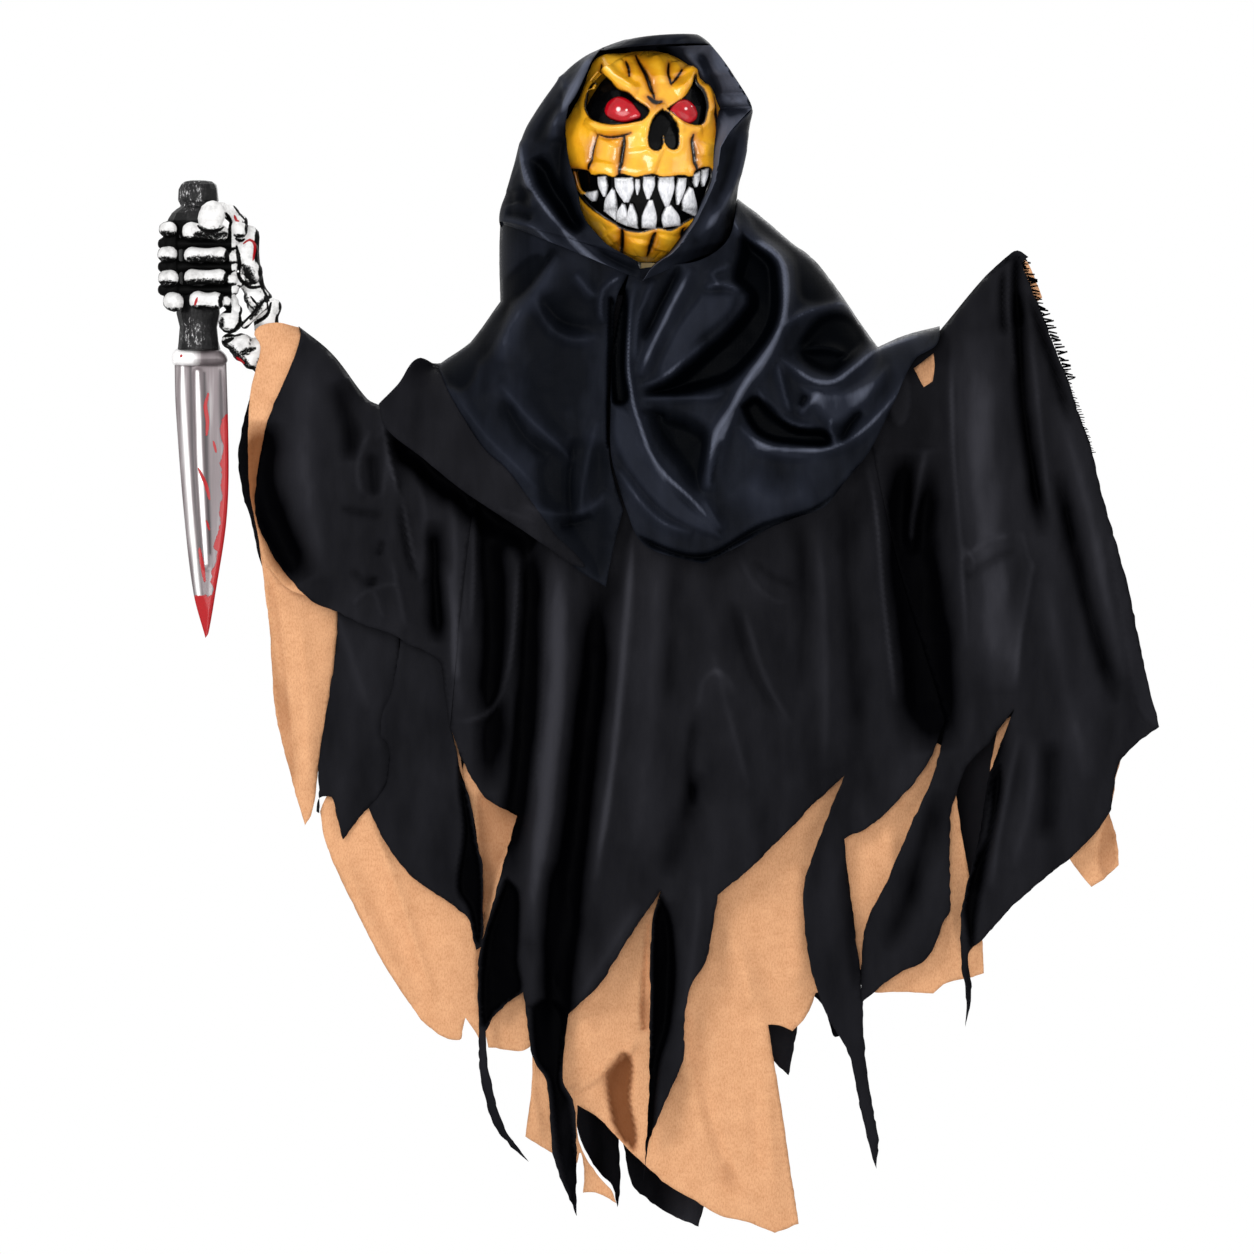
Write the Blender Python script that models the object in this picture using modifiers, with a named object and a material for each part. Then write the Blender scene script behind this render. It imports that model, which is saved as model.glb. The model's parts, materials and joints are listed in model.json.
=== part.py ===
"""Hanging pumpkin figure: a hooded, robed figure on a hanger rod, with a knife in one skeleton hand.

Metres, +Z up. The origin is the centre of the eye at the top of the hanger rod, and the figure
looks along -Y. Outlines that follow the figure's front view are lists of front view pixels,
placed by the figure's real height.
"""
import math

import bmesh
import bpy
from mathutils import Matrix, Vector
from mathutils.geometry import delaunay_2d_cdt

MM = 0.001

# Driving dimensions
figure_height = 1081 * MM
figure_height_px = 1201
metres_per_px = figure_height / figure_height_px
axis_px = 640
eye_px = 50
head_yaw = math.radians(13)
seat_gap = 0.3 * MM
overrun = 6 * MM
merge_distance = 0.01 * MM
bevel = 1.2 * MM

# Cloth
robe_wall = 1.2 * MM
cape_wall = 1.2 * MM
lining_wall = 0.8 * MM
robe_grid = 27 * MM
right_sleeve_grid = 35 * MM
cape_grid = 27 * MM
lining_grid = 42 * MM
robe_front_depth = 64 * MM
robe_back_depth = 46 * MM
sleeve_depth = 30 * MM
cape_front_depth = 86 * MM
cape_back_depth = 62 * MM
shoulder_round = 75 * MM
sleeve_round = 34 * MM
rim_offsets = (5 * MM, 15 * MM)
fold_height = 14 * MM
right_fold_height = 9 * MM
fold_top_share = 0.15
cape_fold_height = 10 * MM
lining_front_y = -38 * MM
lining_sleeve_y = -14 * MM
lining_fold_height = 6 * MM
lining_round = 25 * MM

# Head
face_width = 148 * MM
face_height = 190 * MM
face_depth = 70 * MM
skull_depth = 55 * MM
head_setback = 30 * MM
head_drop = 95.5 * MM
mask_wall = 2.2 * MM
rib_height = 2.2 * MM
rib_count = 11
brow_height = 5 * MM
cheek_height = 3 * MM
liner_wall = 1.2 * MM
teeth_wall = 1.5 * MM
lens_width = 27 * MM
lens_height = 18 * MM
lens_depth = 7 * MM
led_diameter = 5 * MM
led_length = 8.6 * MM
led_board_size = (64 * MM, 1.6 * MM, 14 * MM)
bushing_diameter = 25 * MM
bushing_length = 14 * MM
collar_diameter = 22 * MM
collar_length = 10 * MM
chin_tab_size = (13 * MM, 3 * MM, 13 * MM)

# Hanger rod and shoulders
rod_diameter = 8 * MM
eye_wire = 4.4 * MM
eye_bore = 11 * MM
hub_size = (44 * MM, 40 * MM, 42 * MM)
pivot_px = (533, 320)
crossbar_diameter = 14 * MM
clevis_size = (30 * MM, 22 * MM, 26 * MM)
lug_thickness = 10 * MM
lug_diameter = 22 * MM
pin_diameter = 6 * MM
pin_head = 10 * MM
pin_head_thickness = 2 * MM
neck_bar_length = 34 * MM
arm_diameter = 16 * MM
straight_end = 40 * MM

# Chest case
case_size = (100 * MM, 52 * MM, 132 * MM)
case_wall = 2 * MM
door_size = (62 * MM, 2 * MM, 64 * MM)
rail_width = 3 * MM
rail_lip = 2 * MM
cell_diameter = 14.5 * MM
cell_length = 50.5 * MM
cell_count = 3
cell_pitch = 16.5 * MM
cell_nub_diameter = 5.5 * MM
cell_nub_length = 1 * MM
contact_size = (0.6 * MM, 11 * MM, 46 * MM)
tray_base = 3 * MM
plate_share = 0.9
board_size = (72 * MM, 1.6 * MM, 56 * MM)
boss_diameter = 7 * MM
boss_length = 9 * MM
screw_diameter = 3 * MM
screw_head = 6 * MM
screw_head_length = 2.2 * MM
screw_length = 34 * MM
screw_inset = 9 * MM
switch_slot = (15 * MM, 7 * MM)
switch_size = (8 * MM, 6.4 * MM, 9 * MM)
switch_travel = 5 * MM

# Hand and knife
hand_y = -12 * MM
voxel = 2.6 * MM
hand_bone = 7.6 * MM
handle_px = (196, 349)
handle_top_px = 214
handle_diameter = 34 * MM
pommel_diameter = 36 * MM
pommel_px = (179, 201)
guard_size = (50 * MM, 22 * MM, 12 * MM)
blade_thickness = 4 * MM
cap_diameter = 20 * MM
cap_length = 16 * MM



def at(point, depth=0.0):
    """The place of a front view pixel, at a depth along Y."""
    return Vector(((point[0] - axis_px) * metres_per_px, depth, (eye_px - point[1]) * metres_per_px))


def flat(point):
    """A front view pixel as a point of the flat (x, z) plane."""
    place = at(point)
    return Vector((place.x, place.z))


pivot_x = abs(at(pivot_px).x)
pivot_z = at(pivot_px).z
head_centre = Vector((0, -head_setback, -head_drop))
wrist_px = (262, 340)
elbow_px = (376, 428)
left_elbow_px = (925, 378)
left_end_px = (1019, 266)
hub_top = pivot_z + hub_size[2] * 0.55
hub_centre_z = hub_top - hub_size[2] / 2
case_top = hub_top - hub_size[2] - seat_gap
case_centre_z = case_top - case_size[2] / 2

# Outlines in front view pixels, counter-clockwise or clockwise, each along the cloth's edge
cape_top_left_px = [(504, 270), (500, 300), (470, 335), (440, 362)]
cape_top_right_px = [(744, 206), (779, 230), (805, 250), (841, 290), (868, 330), (905, 334), (942, 325)]
cape_px = (cape_top_left_px
           + [(437, 366), (430, 377), (418, 395), (390, 440), (430, 478), (470, 505), (515, 535), (560, 560), (606, 587),
              (622, 500), (640, 540), (701, 564), (740, 540), (820, 505), (870, 455), (910, 420),
              (938, 370), (941, 345), (942, 331)]
           + cape_top_right_px[::-1]
           + [(740, 262), (690, 275), (640, 282), (570, 276)])

body_top_px = [(496, 309), (505, 304), (530, 296), (588, 296), (692, 296), (740, 296), (800, 297), (834, 302)]
body_px = (body_top_px
           + [(852, 380), (882, 470), (893, 560), (920, 650), (944, 722), (926, 767), (900, 799), (872, 825),
              (846, 842), (856, 936), (862, 990), (866, 1059), (877, 1130), (876, 1169), (859, 1101),
              (849, 1055), (830, 1022), (808, 952), (803, 904), (836, 800), (845, 776), (795, 823),
              (752, 866), (718, 894), (706, 959), (684, 1023), (666, 1098), (643, 1180), (649, 1091),
              (649, 1001), (654, 909), (641, 919), (620, 951), (599, 984), (568, 1014), (563, 1080),
              (576, 1110), (577, 1214), (554, 1155), (547, 1080), (534, 1059), (524, 991), (491, 1016),
              (484, 1036), (502, 1105), (525, 1157), (497, 1126), (483, 1084), (477, 1030), (479, 960),
              (494, 900), (518, 816), (485, 797), (465, 765), (452, 727), (470, 560), (488, 420)])

right_top_px = [(492, 315), (470, 341), (440, 368), (420, 362), (399, 385), (380, 405), (366, 400), (330, 355),
                (292, 323)]
right_px = (right_top_px
            + [(268, 350), (250, 395), (237, 440), (243, 500), (255, 552), (281, 568), (304, 592),
               (336, 612), (335, 700), (319, 759), (321, 800), (343, 840), (365, 810), (392, 851),
               (440, 899), (476, 936), (478, 900), (466, 813), (447, 731), (465, 560), (484, 420)])

left_top_px = [(840, 308), (868, 343), (905, 347), (932, 339), (946, 324), (986, 277), (1016, 252)]
left_px = (left_top_px
           + [(1030, 256), (1041, 296), (1067, 373), (1099, 482), (1129, 588), (1145, 654), (1160, 727),
              (1120, 764), (1112, 809), (1072, 857), (1012, 908), (972, 955), (968, 1027), (961, 920),
              (980, 837), (1005, 734), (1014, 708), (990, 742), (958, 790), (951, 815), (951, 911),
              (927, 959), (884, 984), (866, 1000), (862, 945), (888, 879), (913, 821), (932, 780),
              (950, 722), (924, 650), (898, 560), (888, 470), (857, 380)])

lining_front_top_px = ([(557, 310.3), (612, 310.3)], [(668, 310.3), (723, 310.3)])
lining_front_px = [*lining_front_top_px[0], (612, 316), (612, 327), (612, 350), (668, 350), (668, 327),
                   (668, 316), *lining_front_top_px[1], (724, 316), (725, 327), (738, 420),
                   (800, 560), (880, 640), (925, 722), (945, 760), (958, 880), (985, 940),
                   (985, 974), (948, 984), (934, 995), (876, 994), (830, 985), (816, 991), (793, 1032),
                   (770, 1025), (777, 1080), (791, 1173), (799, 1225), (775, 1234), (720, 1216),
                   (666, 1184), (620, 1141), (577, 1105), (561, 1089), (554, 1150), (530, 1140),
                   (528, 1048), (488, 1047), (480, 960), (484, 860), (470, 760), (500, 640), (542, 420), (555, 327),
                   (556, 316)]
lining_right_px = [(300, 470), (262, 500), (256, 530), (268, 631), (287, 768), (304, 826), (319, 759),
                   (322, 832), (348, 896), (386, 970), (420, 1021), (441, 1037), (459, 1041),
                   (475, 1030), (474, 940), (462, 813), (440, 740), (430, 600), (420, 470), (386, 438.6),
                   (376, 437.1), (366, 438.6)]
lining_left_px = [(964, 353), (940, 400), (980, 560), (1000, 720), (985, 800), (1000, 860), (1060, 850),
                  (1071, 860), (1093, 888), (1118, 866), (1112, 812), (1118, 740), (1100, 560),
                  (1070, 420), (1040, 330), (1012, 330), (996, 315)]

blade_px = [(174, 361), (174, 404), (182, 509), (192, 593), (204, 638), (207, 633), (215, 587),
            (224, 530), (227, 488), (227, 435), (225, 361)]

left_socket_px = [(587, 96), (592, 84), (608, 88), (626, 96), (646, 110), (643, 122), (622, 128),
                  (604, 126), (592, 116)]
right_socket_px = [(669, 112), (682, 98), (700, 85), (706, 92), (706, 108), (700, 122), (684, 127),
                   (671, 122)]
nose_px = [(664, 115), (670, 126), (678, 142), (676, 151), (667, 151), (663, 144), (658, 153),
           (650, 149), (651, 138), (657, 124)]
mouth_px = [(579, 186), (598, 180), (630, 180), (665, 182), (690, 176), (708, 172), (713, 182),
            (707, 204), (692, 221), (670, 231), (648, 233), (622, 228), (600, 214), (586, 200)]
upper_teeth_px = [(582, 187), (598, 182), (630, 182), (665, 184), (690, 178), (707, 174), (704, 188),
                  (700, 183), (696, 190), (691, 183), (684, 186), (677, 207), (671, 188), (666, 209),
                  (655, 188), (648, 203), (643, 188), (638, 198), (634, 188), (626, 206), (617, 188),
                  (603, 198), (596, 188), (588, 195)]
lower_teeth_px = [(590, 203), (601, 212), (624, 226), (648, 231), (669, 229), (690, 219), (704, 205),
                  (698, 206), (692, 197), (684, 213), (679, 222), (671, 213), (663, 225), (658, 225),
                  (650, 210), (642, 225), (633, 212), (628, 222), (622, 212), (615, 216), (610, 202),
                  (603, 209)]
eye_px_places = [(622, 112), (686, 113)]


def new_object(name, mesh, collection):
    """An object of a mesh, linked to a collection."""
    thing = bpy.data.objects.new(name, mesh)
    collection.objects.link(thing)
    return thing


def from_bmesh(name, shape, collection):
    """An object of a finished bmesh."""
    mesh = bpy.data.meshes.new(name)
    shape.to_mesh(mesh)
    shape.free()
    return new_object(name, mesh, collection)


def finish(name, colour, roughness, metallic=0.0):
    """A Principled material."""
    material = bpy.data.materials.new(name)
    material.use_nodes = True
    shader = material.node_tree.nodes["Principled BSDF"]
    shader.inputs["Base Color"].default_value = (*colour, 1.0)
    shader.inputs["Roughness"].default_value = roughness
    shader.inputs["Metallic"].default_value = metallic
    material.diffuse_color = (*colour, 1.0)
    return material


def dress(thing, material, smooth=True):
    """Gives an object its material, and shades its round sides smooth."""
    thing.data.materials.clear()
    thing.data.materials.append(material)
    if smooth:
        thing.data.shade_smooth()
        thing.data.set_sharp_from_angle(angle=math.radians(35))
    return thing


def carry(thing, frame):
    """Parents an object built in world places to a body's empty, and puts its origin there."""
    thing.data.transform(Matrix.Translation(-frame.location))
    thing.parent = frame
    return thing


def hang(thing, frame):
    """Parents an object that is built in its body's own places."""
    thing.parent = frame
    return thing


def box(name, size, centre, collection, round_edges=True):
    """A box by its size and centre, with rounded edges."""
    shape = bmesh.new()
    bmesh.ops.create_cube(shape, size=1, matrix=Matrix.Translation(centre) @ Matrix.Diagonal((*size, 1)))
    thing = from_bmesh(name, shape, collection)
    if round_edges:
        edge = thing.modifiers.new("Edges", "BEVEL")
        edge.width = min(bevel, min(size) * 0.3)
        edge.segments = 1
    return thing


def bar(name, diameter, start, end, collection, segments=24, end_diameter=None):
    """A round bar between two points."""
    start = Vector(start)
    end = Vector(end)
    along = end - start
    turn = along.to_track_quat("Z", "Y").to_matrix().to_4x4()
    shape = bmesh.new()
    bmesh.ops.create_cone(shape, cap_ends=True, segments=segments, radius1=diameter / 2,
                          radius2=(end_diameter or diameter) / 2, depth=along.length,
                          matrix=Matrix.Translation((start + end) / 2) @ turn)
    return from_bmesh(name, shape, collection)


def turned(name, profile, place, collection, steps=24, turn=None):
    """A turned piece: a profile of (radius, height) pairs from its top to its bottom, on a Screw modifier."""
    shape = bmesh.new()
    corners = [shape.verts.new((radius, 0, height)) for radius, height in profile]
    for first, second in zip(corners, corners[1:] + corners[:1]):
        if first.co.x > 0 or second.co.x > 0:
            shape.edges.new((first, second))
    thing = from_bmesh(name, shape, collection)
    screw = thing.modifiers.new("Turn", "SCREW")
    screw.steps = steps
    screw.render_steps = steps
    screw.use_merge_vertices = True
    screw.merge_threshold = merge_distance
    flatten(thing)
    if turn:
        thing.data.transform(turn)
    thing.data.transform(Matrix.Translation(place))
    return thing


def flatten(thing):
    """Replaces an object's mesh by its evaluated one, and drops its modifiers."""
    bpy.context.view_layer.update()
    seen = thing.evaluated_get(bpy.context.evaluated_depsgraph_get())
    mesh = bpy.data.meshes.new_from_object(seen)
    thing.modifiers.clear()
    thing.data = mesh
    shape = bmesh.new()
    shape.from_mesh(mesh)
    bmesh.ops.remove_doubles(shape, verts=shape.verts, dist=merge_distance)
    bmesh.ops.recalc_face_normals(shape, faces=shape.faces)
    shape.to_mesh(mesh)
    shape.free()
    return thing


def boolean(thing, other, operation):
    """Joins or cuts an object by another."""
    other.hide_render = True
    other.display_type = "WIRE"
    step = thing.modifiers.new(operation.title(), "BOOLEAN")
    step.operation = operation
    step.object = other
    step.solver = "EXACT"
    return thing


def cut(thing, other):
    """Cuts an object by a cutter."""
    return boolean(thing, other, "DIFFERENCE")


def join(thing, other):
    """Joins a guide's shape to an object."""
    return boolean(thing, other, "UNION")


def tube(name, points, diameter, collection, frame_collection):
    """A bent bar along a smooth curve through its points, as a mesh."""
    line = bpy.data.curves.new(name, "CURVE")
    line.dimensions = "3D"
    line.bevel_depth = diameter / 2
    line.bevel_resolution = 2
    line.use_fill_caps = True
    spline = line.splines.new("POLY")
    smooth = smooth_path(points, 4)
    spline.points.add(len(smooth) - 1)
    for place, point in zip(smooth, spline.points):
        point.co = (*place, 1)
    draft = bpy.data.objects.new(name + "_line", line)
    frame_collection.objects.link(draft)
    bpy.context.view_layer.update()
    mesh = bpy.data.meshes.new_from_object(draft.evaluated_get(bpy.context.evaluated_depsgraph_get()))
    bpy.data.objects.remove(draft)
    thing = new_object(name, mesh, collection)
    shape = bmesh.new()
    shape.from_mesh(mesh)
    bmesh.ops.remove_doubles(shape, verts=shape.verts, dist=merge_distance)
    bmesh.ops.recalc_face_normals(shape, faces=shape.faces)
    shape.to_mesh(mesh)
    shape.free()
    return thing


def smooth_path(points, count):
    """Points of a Catmull-Rom curve through the given ones."""
    points = [Vector(point) for point in points]
    ends = [points[0] * 2 - points[1]] + points + [points[-1] * 2 - points[-2]]
    path = []
    for i in range(1, len(ends) - 2):
        before, start, end, after = ends[i - 1:i + 3]
        for k in range(count):
            t = k / count
            path.append(0.5 * (2 * start + (end - before) * t
                               + (2 * before - 5 * start + 4 * end - after) * t ** 2
                               + (3 * start - before - 3 * end + after) * t ** 3))
    path.append(points[-1])
    return path


def within(outline, point):
    """Whether a flat point lies inside a closed outline."""
    inside = False
    for first, second in zip(outline, outline[1:] + outline[:1]):
        if (first.y > point.y) != (second.y > point.y):
            crossing = first.x + (point.y - first.y) / (second.y - first.y) * (second.x - first.x)
            if point.x < crossing:
                inside = not inside
    return inside


def line_distance(point, line, closed=False):
    """How far a flat point lies from a line of points."""
    pairs = zip(line, line[1:] + (line[:1] if closed else []))
    nearest = math.inf
    for first, second in pairs:
        along = second - first
        share = max(0.0, min(1.0, (point - first).dot(along) / along.length_squared))
        nearest = min(nearest, (point - first - along * share).length)
    return nearest


def flat_mesh(outline, grid, holes=(), rim=()):
    """Points and triangles that fill a flat outline, on an even grid, with holes left open."""
    points = []
    edges = []
    for loop in [outline, *holes]:
        start = len(points)
        for first, second in zip(loop, loop[1:] + loop[:1]):
            pieces = max(1, round((second - first).length / grid))
            points += [first.lerp(second, k / pieces) for k in range(pieces)]
        count = len(points) - start
        edges += [(start + k, start + (k + 1) % count) for k in range(count)]
    low = Vector((min(p.x for p in outline), min(p.y for p in outline)))
    high = Vector((max(p.x for p in outline), max(p.y for p in outline)))
    for row in range(int((high.y - low.y) / grid) + 1):
        shift = 0.5 if row % 2 else 0.0
        for column in range(int((high.x - low.x) / grid) + 1):
            point = low + Vector(((column + shift) * grid, row * grid))
            if not within(outline, point) or any(within(hole, point) for hole in holes):
                continue
            if min(line_distance(point, loop, True) for loop in [outline, *holes]) > grid * 0.45:
                points.append(point)
    points += rim_points(rim, outline, grid, points)
    found, faces = fill(points, edges, outline, holes, grid)
    for _ in range(3):
        bridges = [middle for middle in bridge_middles(found, faces, rim) if within(outline, middle)]
        if not bridges:
            break
        points += bridges
        found, faces = fill(points, edges, outline, holes, grid)
    return found, faces


def rim_points(rim, outline, grid, taken):
    """Extra points close under the rim lines, where hanging cloth curves the most."""
    extra = []
    for line in rim:
        for first, second in zip(line, line[1:]):
            along = second - first
            side = Vector((-along.y, along.x)).normalized()
            pieces = max(1, round(along.length / grid * 1.6))
            for k in range(pieces):
                for offset in rim_offsets:
                    middle = first.lerp(second, (k + 0.5) / pieces)
                    for point in (middle + side * offset, middle - side * offset):
                        clear = line_distance(point, outline, True) > offset * 0.8
                        free = all((point - other).length > offset * 0.8 for other in taken + extra)
                        if within(outline, point) and clear and free:
                            extra.append(point)
    return extra


def fill(points, edges, outline, holes, grid):
    """Triangles among flat points that lie inside an outline and outside its holes."""
    found, _, faces, *_ = delaunay_2d_cdt(points, edges, [], 1, grid * 0.0001)
    kept = []
    for face in faces:
        middle = sum((found[i] for i in face), Vector((0, 0))) / len(face)
        if within(outline, middle) and not any(within(hole, middle) for hole in holes):
            kept.append(face)
    return found, kept


def bridge_middles(points, faces, rim):
    """The middles of inner edges that join two points of the rim lines, where cloth would pinch shut."""
    on_rim = {i for i, point in enumerate(points) if any(line_distance(point, line) < merge_distance for line in rim)}
    uses = {}
    for face in faces:
        for first, second in zip(face, face[1:] + face[:1]):
            if first in on_rim and second in on_rim:
                key = (min(first, second), max(first, second))
                uses[key] = uses.get(key, 0) + 1
    return [(points[a] + points[b]) / 2 for (a, b), count in uses.items() if count == 2]


def sheet(name, outline, grid, place, wall, collection, holes=(), back=None, rim=()):
    """A cloth or shell solid: a filled outline put in its place, with a back half where it has one."""
    points, faces = flat_mesh(outline, grid, holes, rim)
    shape = bmesh.new()
    for surface in [place, back]:
        if surface is None:
            continue
        corners = [shape.verts.new(surface(point)) for point in points]
        for face in faces:
            order = face if surface is place else face[::-1]
            shape.faces.new([corners[i] for i in order])
    bmesh.ops.remove_doubles(shape, verts=shape.verts, dist=2 * merge_distance)
    bmesh.ops.delete(shape, geom=[v for v in shape.verts if not v.link_faces], context="VERTS")
    thing = from_bmesh(name, shape, collection)
    solid = thing.modifiers.new("Wall", "SOLIDIFY")
    solid.thickness = wall
    solid.offset = -1
    return thing


def ridge(value, width):
    """A smooth hump, 1 at zero and near 0 past the width."""
    return math.exp(-(value / width) ** 2)


def hanging_folds(point, ridges, spread, width, top, bottom):
    """Height of upright folds that grow from a top to a bottom place and fan out."""
    fall = max(0.0, min(1.0, (top - point.y) / (top - bottom)))
    height = 0.0
    for place in ridges:
        middle = place * (1 + spread * fall)
        height = max(height, ridge(point.x - middle, width))
    return (height - 0.4) * (0.25 + 0.75 * fall)


def standing_folds(point, crests, rows):
    """Height share of folds between crests and valleys that run from a top to a bottom row, and grow below the top."""
    top, bottom, full = [flat((0, row)).y for row in rows]
    fall = max(0.0, min(1.0, (top - point.y) / (top - bottom)))
    places = [flat((start + (end - start) * fall, 0)).x for start, end, _ in crests]
    height = 0.0
    for number, (left, right) in enumerate(zip(places, places[1:])):
        if left <= point.x < right:
            share = (point.x - left) / (right - left)
            share = share * share * (3 - 2 * share)
            height = crests[number][2] * (1 - share) + crests[number + 1][2] * share
    return height * max(fold_top_share, min(1.0, (top - point.y) / (top - full)))


def rounded(distance, reach):
    """A quarter-round rise from 0 at an edge to 1 past its reach."""
    share = max(0.0, min(1.0, distance / reach))
    return math.sqrt(max(0.0, 1 - (1 - share) ** 2))


def tent(top_lines, front_depth, back_depth, reach, fold):
    """The front and back places of cloth that hangs over a top edge."""
    def rise(point):
        nearest = min(line_distance(point, line) for line in top_lines)
        return rounded(nearest, reach) if nearest > merge_distance else 0.0

    def front(point):
        return Vector((point.x, -(front_depth(point) + fold(point)) * rise(point), point.y))

    def back(point):
        return Vector((point.x, (back_depth(point) + 0.6 * fold(point)) * rise(point), point.y))

    return front, back


def face_aim(angles):
    """Shares of the face's width, height and depth at the given turns from the nose, sideways and up."""
    turn = angles.length
    aim = angles.normalized() if turn > 0 else Vector((1, 0))
    return math.sin(turn) * aim.x, math.sin(turn) * aim.y, math.cos(turn)


def smooth_face(angles, lift=0.0):
    """A place on the plain egg shape inside the face."""
    side, rise, front = face_aim(angles)
    normal = Vector((side / (face_width / 2), -front / face_depth, rise / (face_height / 2))).normalized()
    surface = Vector((side * face_width / 2, -front * face_depth, rise * face_height / 2))
    return head_centre + surface + normal * lift


def face_surface(angles, lift=0.0):
    """A place on the front of the face, with its ribs, brows and cheeks."""
    side, rise, front = face_aim(angles)
    ribs = math.sqrt(abs(math.cos(math.atan2(side, max(front, 0.001)) * rib_count / 2))) - 1
    fade = ridge(rise - 0.1, 1.1)
    height = lift + rib_height * ribs * fade
    height += brow_height * ridge(rise - 0.55, 0.16) * ridge(abs(side) - 0.35, 0.4)
    height += cheek_height * ridge(rise - 0.06, 0.16) * ridge(abs(side) - 0.55, 0.3)
    return smooth_face(angles, height)


def face_angles(point_px):
    """The face's own angles of a front view pixel, with the head turned as at rest."""
    place = at(point_px)
    rise = (place.z - head_centre.z) / (face_height / 2)
    side = 0.0
    for _ in range(30):
        front = math.sqrt(max(0.0, 1 - side ** 2 - rise ** 2))
        ahead = head_setback + face_depth * front
        side = (place.x - ahead * math.sin(head_yaw)) / (face_width / 2 * math.cos(head_yaw))
    length = math.hypot(side, rise)
    turn = math.asin(min(0.999, length))
    return Vector((side, rise)) / length * turn


def skull_surface(angles):
    """A place on the back of the head, by angles from its rearmost point."""
    turn = angles.length
    aim = angles.normalized() if turn > 0 else Vector((1, 0))
    side = math.sin(turn) * aim.x
    rise = math.sin(turn) * aim.y
    return head_centre + Vector((-side * face_width / 2, math.cos(turn) * skull_depth, rise * face_height / 2))


def disc(turn, count=36):
    """A round outline in the plane of angles."""
    return [Vector((math.cos(k * math.tau / count), math.sin(k * math.tau / count))) * turn for k in range(count)]


def make_frames(collection):
    """One empty for each body, at its joint."""
    places = {
        "torso": Vector((0, 0, 0)),
        "head": Vector((0, 0, 0)),
        "right_arm": Vector((-pivot_x, 0, pivot_z)),
        "left_arm": Vector((pivot_x, 0, pivot_z)),
        "right_hand": at(wrist_px, hand_y),
        "battery_door": Vector((0, 0, case_centre_z)),
        "power_switch": Vector((0, 0, case_centre_z - case_size[2] / 2)),
    }
    frames = {}
    for name, place in places.items():
        frames[name] = bpy.data.objects.new(name + "_body", None)
        frames[name].location = place
        frames[name].empty_display_size = figure_height * 0.05
        collection.objects.link(frames[name])
    frames["head"].rotation_euler.z = head_yaw
    return frames


def make_hanger(parts, tools, frames, metal):
    """The rod with its eye, the hub it stands in, and the shoulder bar."""
    foot = pivot_z + crossbar_diameter / 2 + 2 * seat_gap
    rod = bar("hanger_rod", rod_diameter, (0, 0, foot), (0, 0, -(eye_bore + eye_wire) / 2), parts)
    bpy.ops.mesh.primitive_torus_add(major_radius=(eye_bore + eye_wire) / 2, minor_radius=eye_wire / 2,
                                     major_segments=20, minor_segments=8, rotation=(math.pi / 2, 0, 0))
    ring = bpy.context.object
    ring.name = "eye_ring_guide"
    for home in list(ring.users_collection):
        home.objects.unlink(ring)
    tools.objects.link(ring)
    join(rod, ring)
    flatten(rod)
    carry(dress(rod, metal), frames["torso"])

    hub = box("shoulder_hub", hub_size, (0, 0, hub_centre_z), parts)
    cut(hub, bar("rod_socket_cutter", rod_diameter + 2 * seat_gap, (0, 0, foot - seat_gap),
                 (0, 0, hub_top + overrun), tools))
    reach = hub_size[0] / 2 + overrun
    cut(hub, bar("crossbar_cutter", crossbar_diameter + 2 * seat_gap, (-reach, 0, pivot_z), (reach, 0, pivot_z),
                 tools))
    flatten(hub)
    carry(dress(hub, finish("hub_plastic", (0.03, 0.03, 0.03), 0.5)), frames["torso"])

    inner = pivot_x - clevis_size[0] * 0.45
    bar_end = inner - seat_gap
    carry(dress(bar("shoulder_bar", crossbar_diameter, (-bar_end, 0, pivot_z), (bar_end, 0, pivot_z), parts), metal),
          frames["torso"])
    for side, sign in (("right", -1), ("left", 1)):
        make_clevis(side, sign, inner, parts, tools, frames, metal)


def make_clevis(side, sign, inner, parts, tools, frames, metal):
    """A forked block on the end of the shoulder bar, with its pivot pin."""
    centre = sign * (inner + clevis_size[0] / 2)
    clevis = box(side + "_shoulder_clevis", clevis_size, (centre, 0, pivot_z), parts)
    slot_start = pivot_x - lug_diameter / 2 - 2 * seat_gap
    slot_length = clevis_size[0]
    slot = box(side + "_slot_cutter", (slot_length, lug_thickness + 2 * seat_gap, clevis_size[2] + overrun),
               (sign * (slot_start + slot_length / 2), 0, pivot_z), tools, False)
    cut(clevis, slot)
    half = clevis_size[1] / 2
    cut(clevis, bar(side + "_pin_hole_cutter", pin_diameter + 2 * seat_gap,
                    (sign * pivot_x, -half - overrun, pivot_z), (sign * pivot_x, half + overrun, pivot_z), tools))
    flatten(clevis)
    carry(dress(clevis, metal), frames["torso"])
    head = half + seat_gap
    profile = [(0, head + pin_head_thickness), (pin_head / 2, head + pin_head_thickness), (pin_head / 2, head),
               (pin_diameter / 2, head), (pin_diameter / 2, -head), (0, -head)]
    lay = Matrix.Rotation(math.pi / 2, 4, "X")
    pin = turned(side + "_shoulder_pin", profile, (sign * pivot_x, 0, pivot_z), parts, 20, lay)
    carry(dress(pin, metal), frames["torso"])


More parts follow.
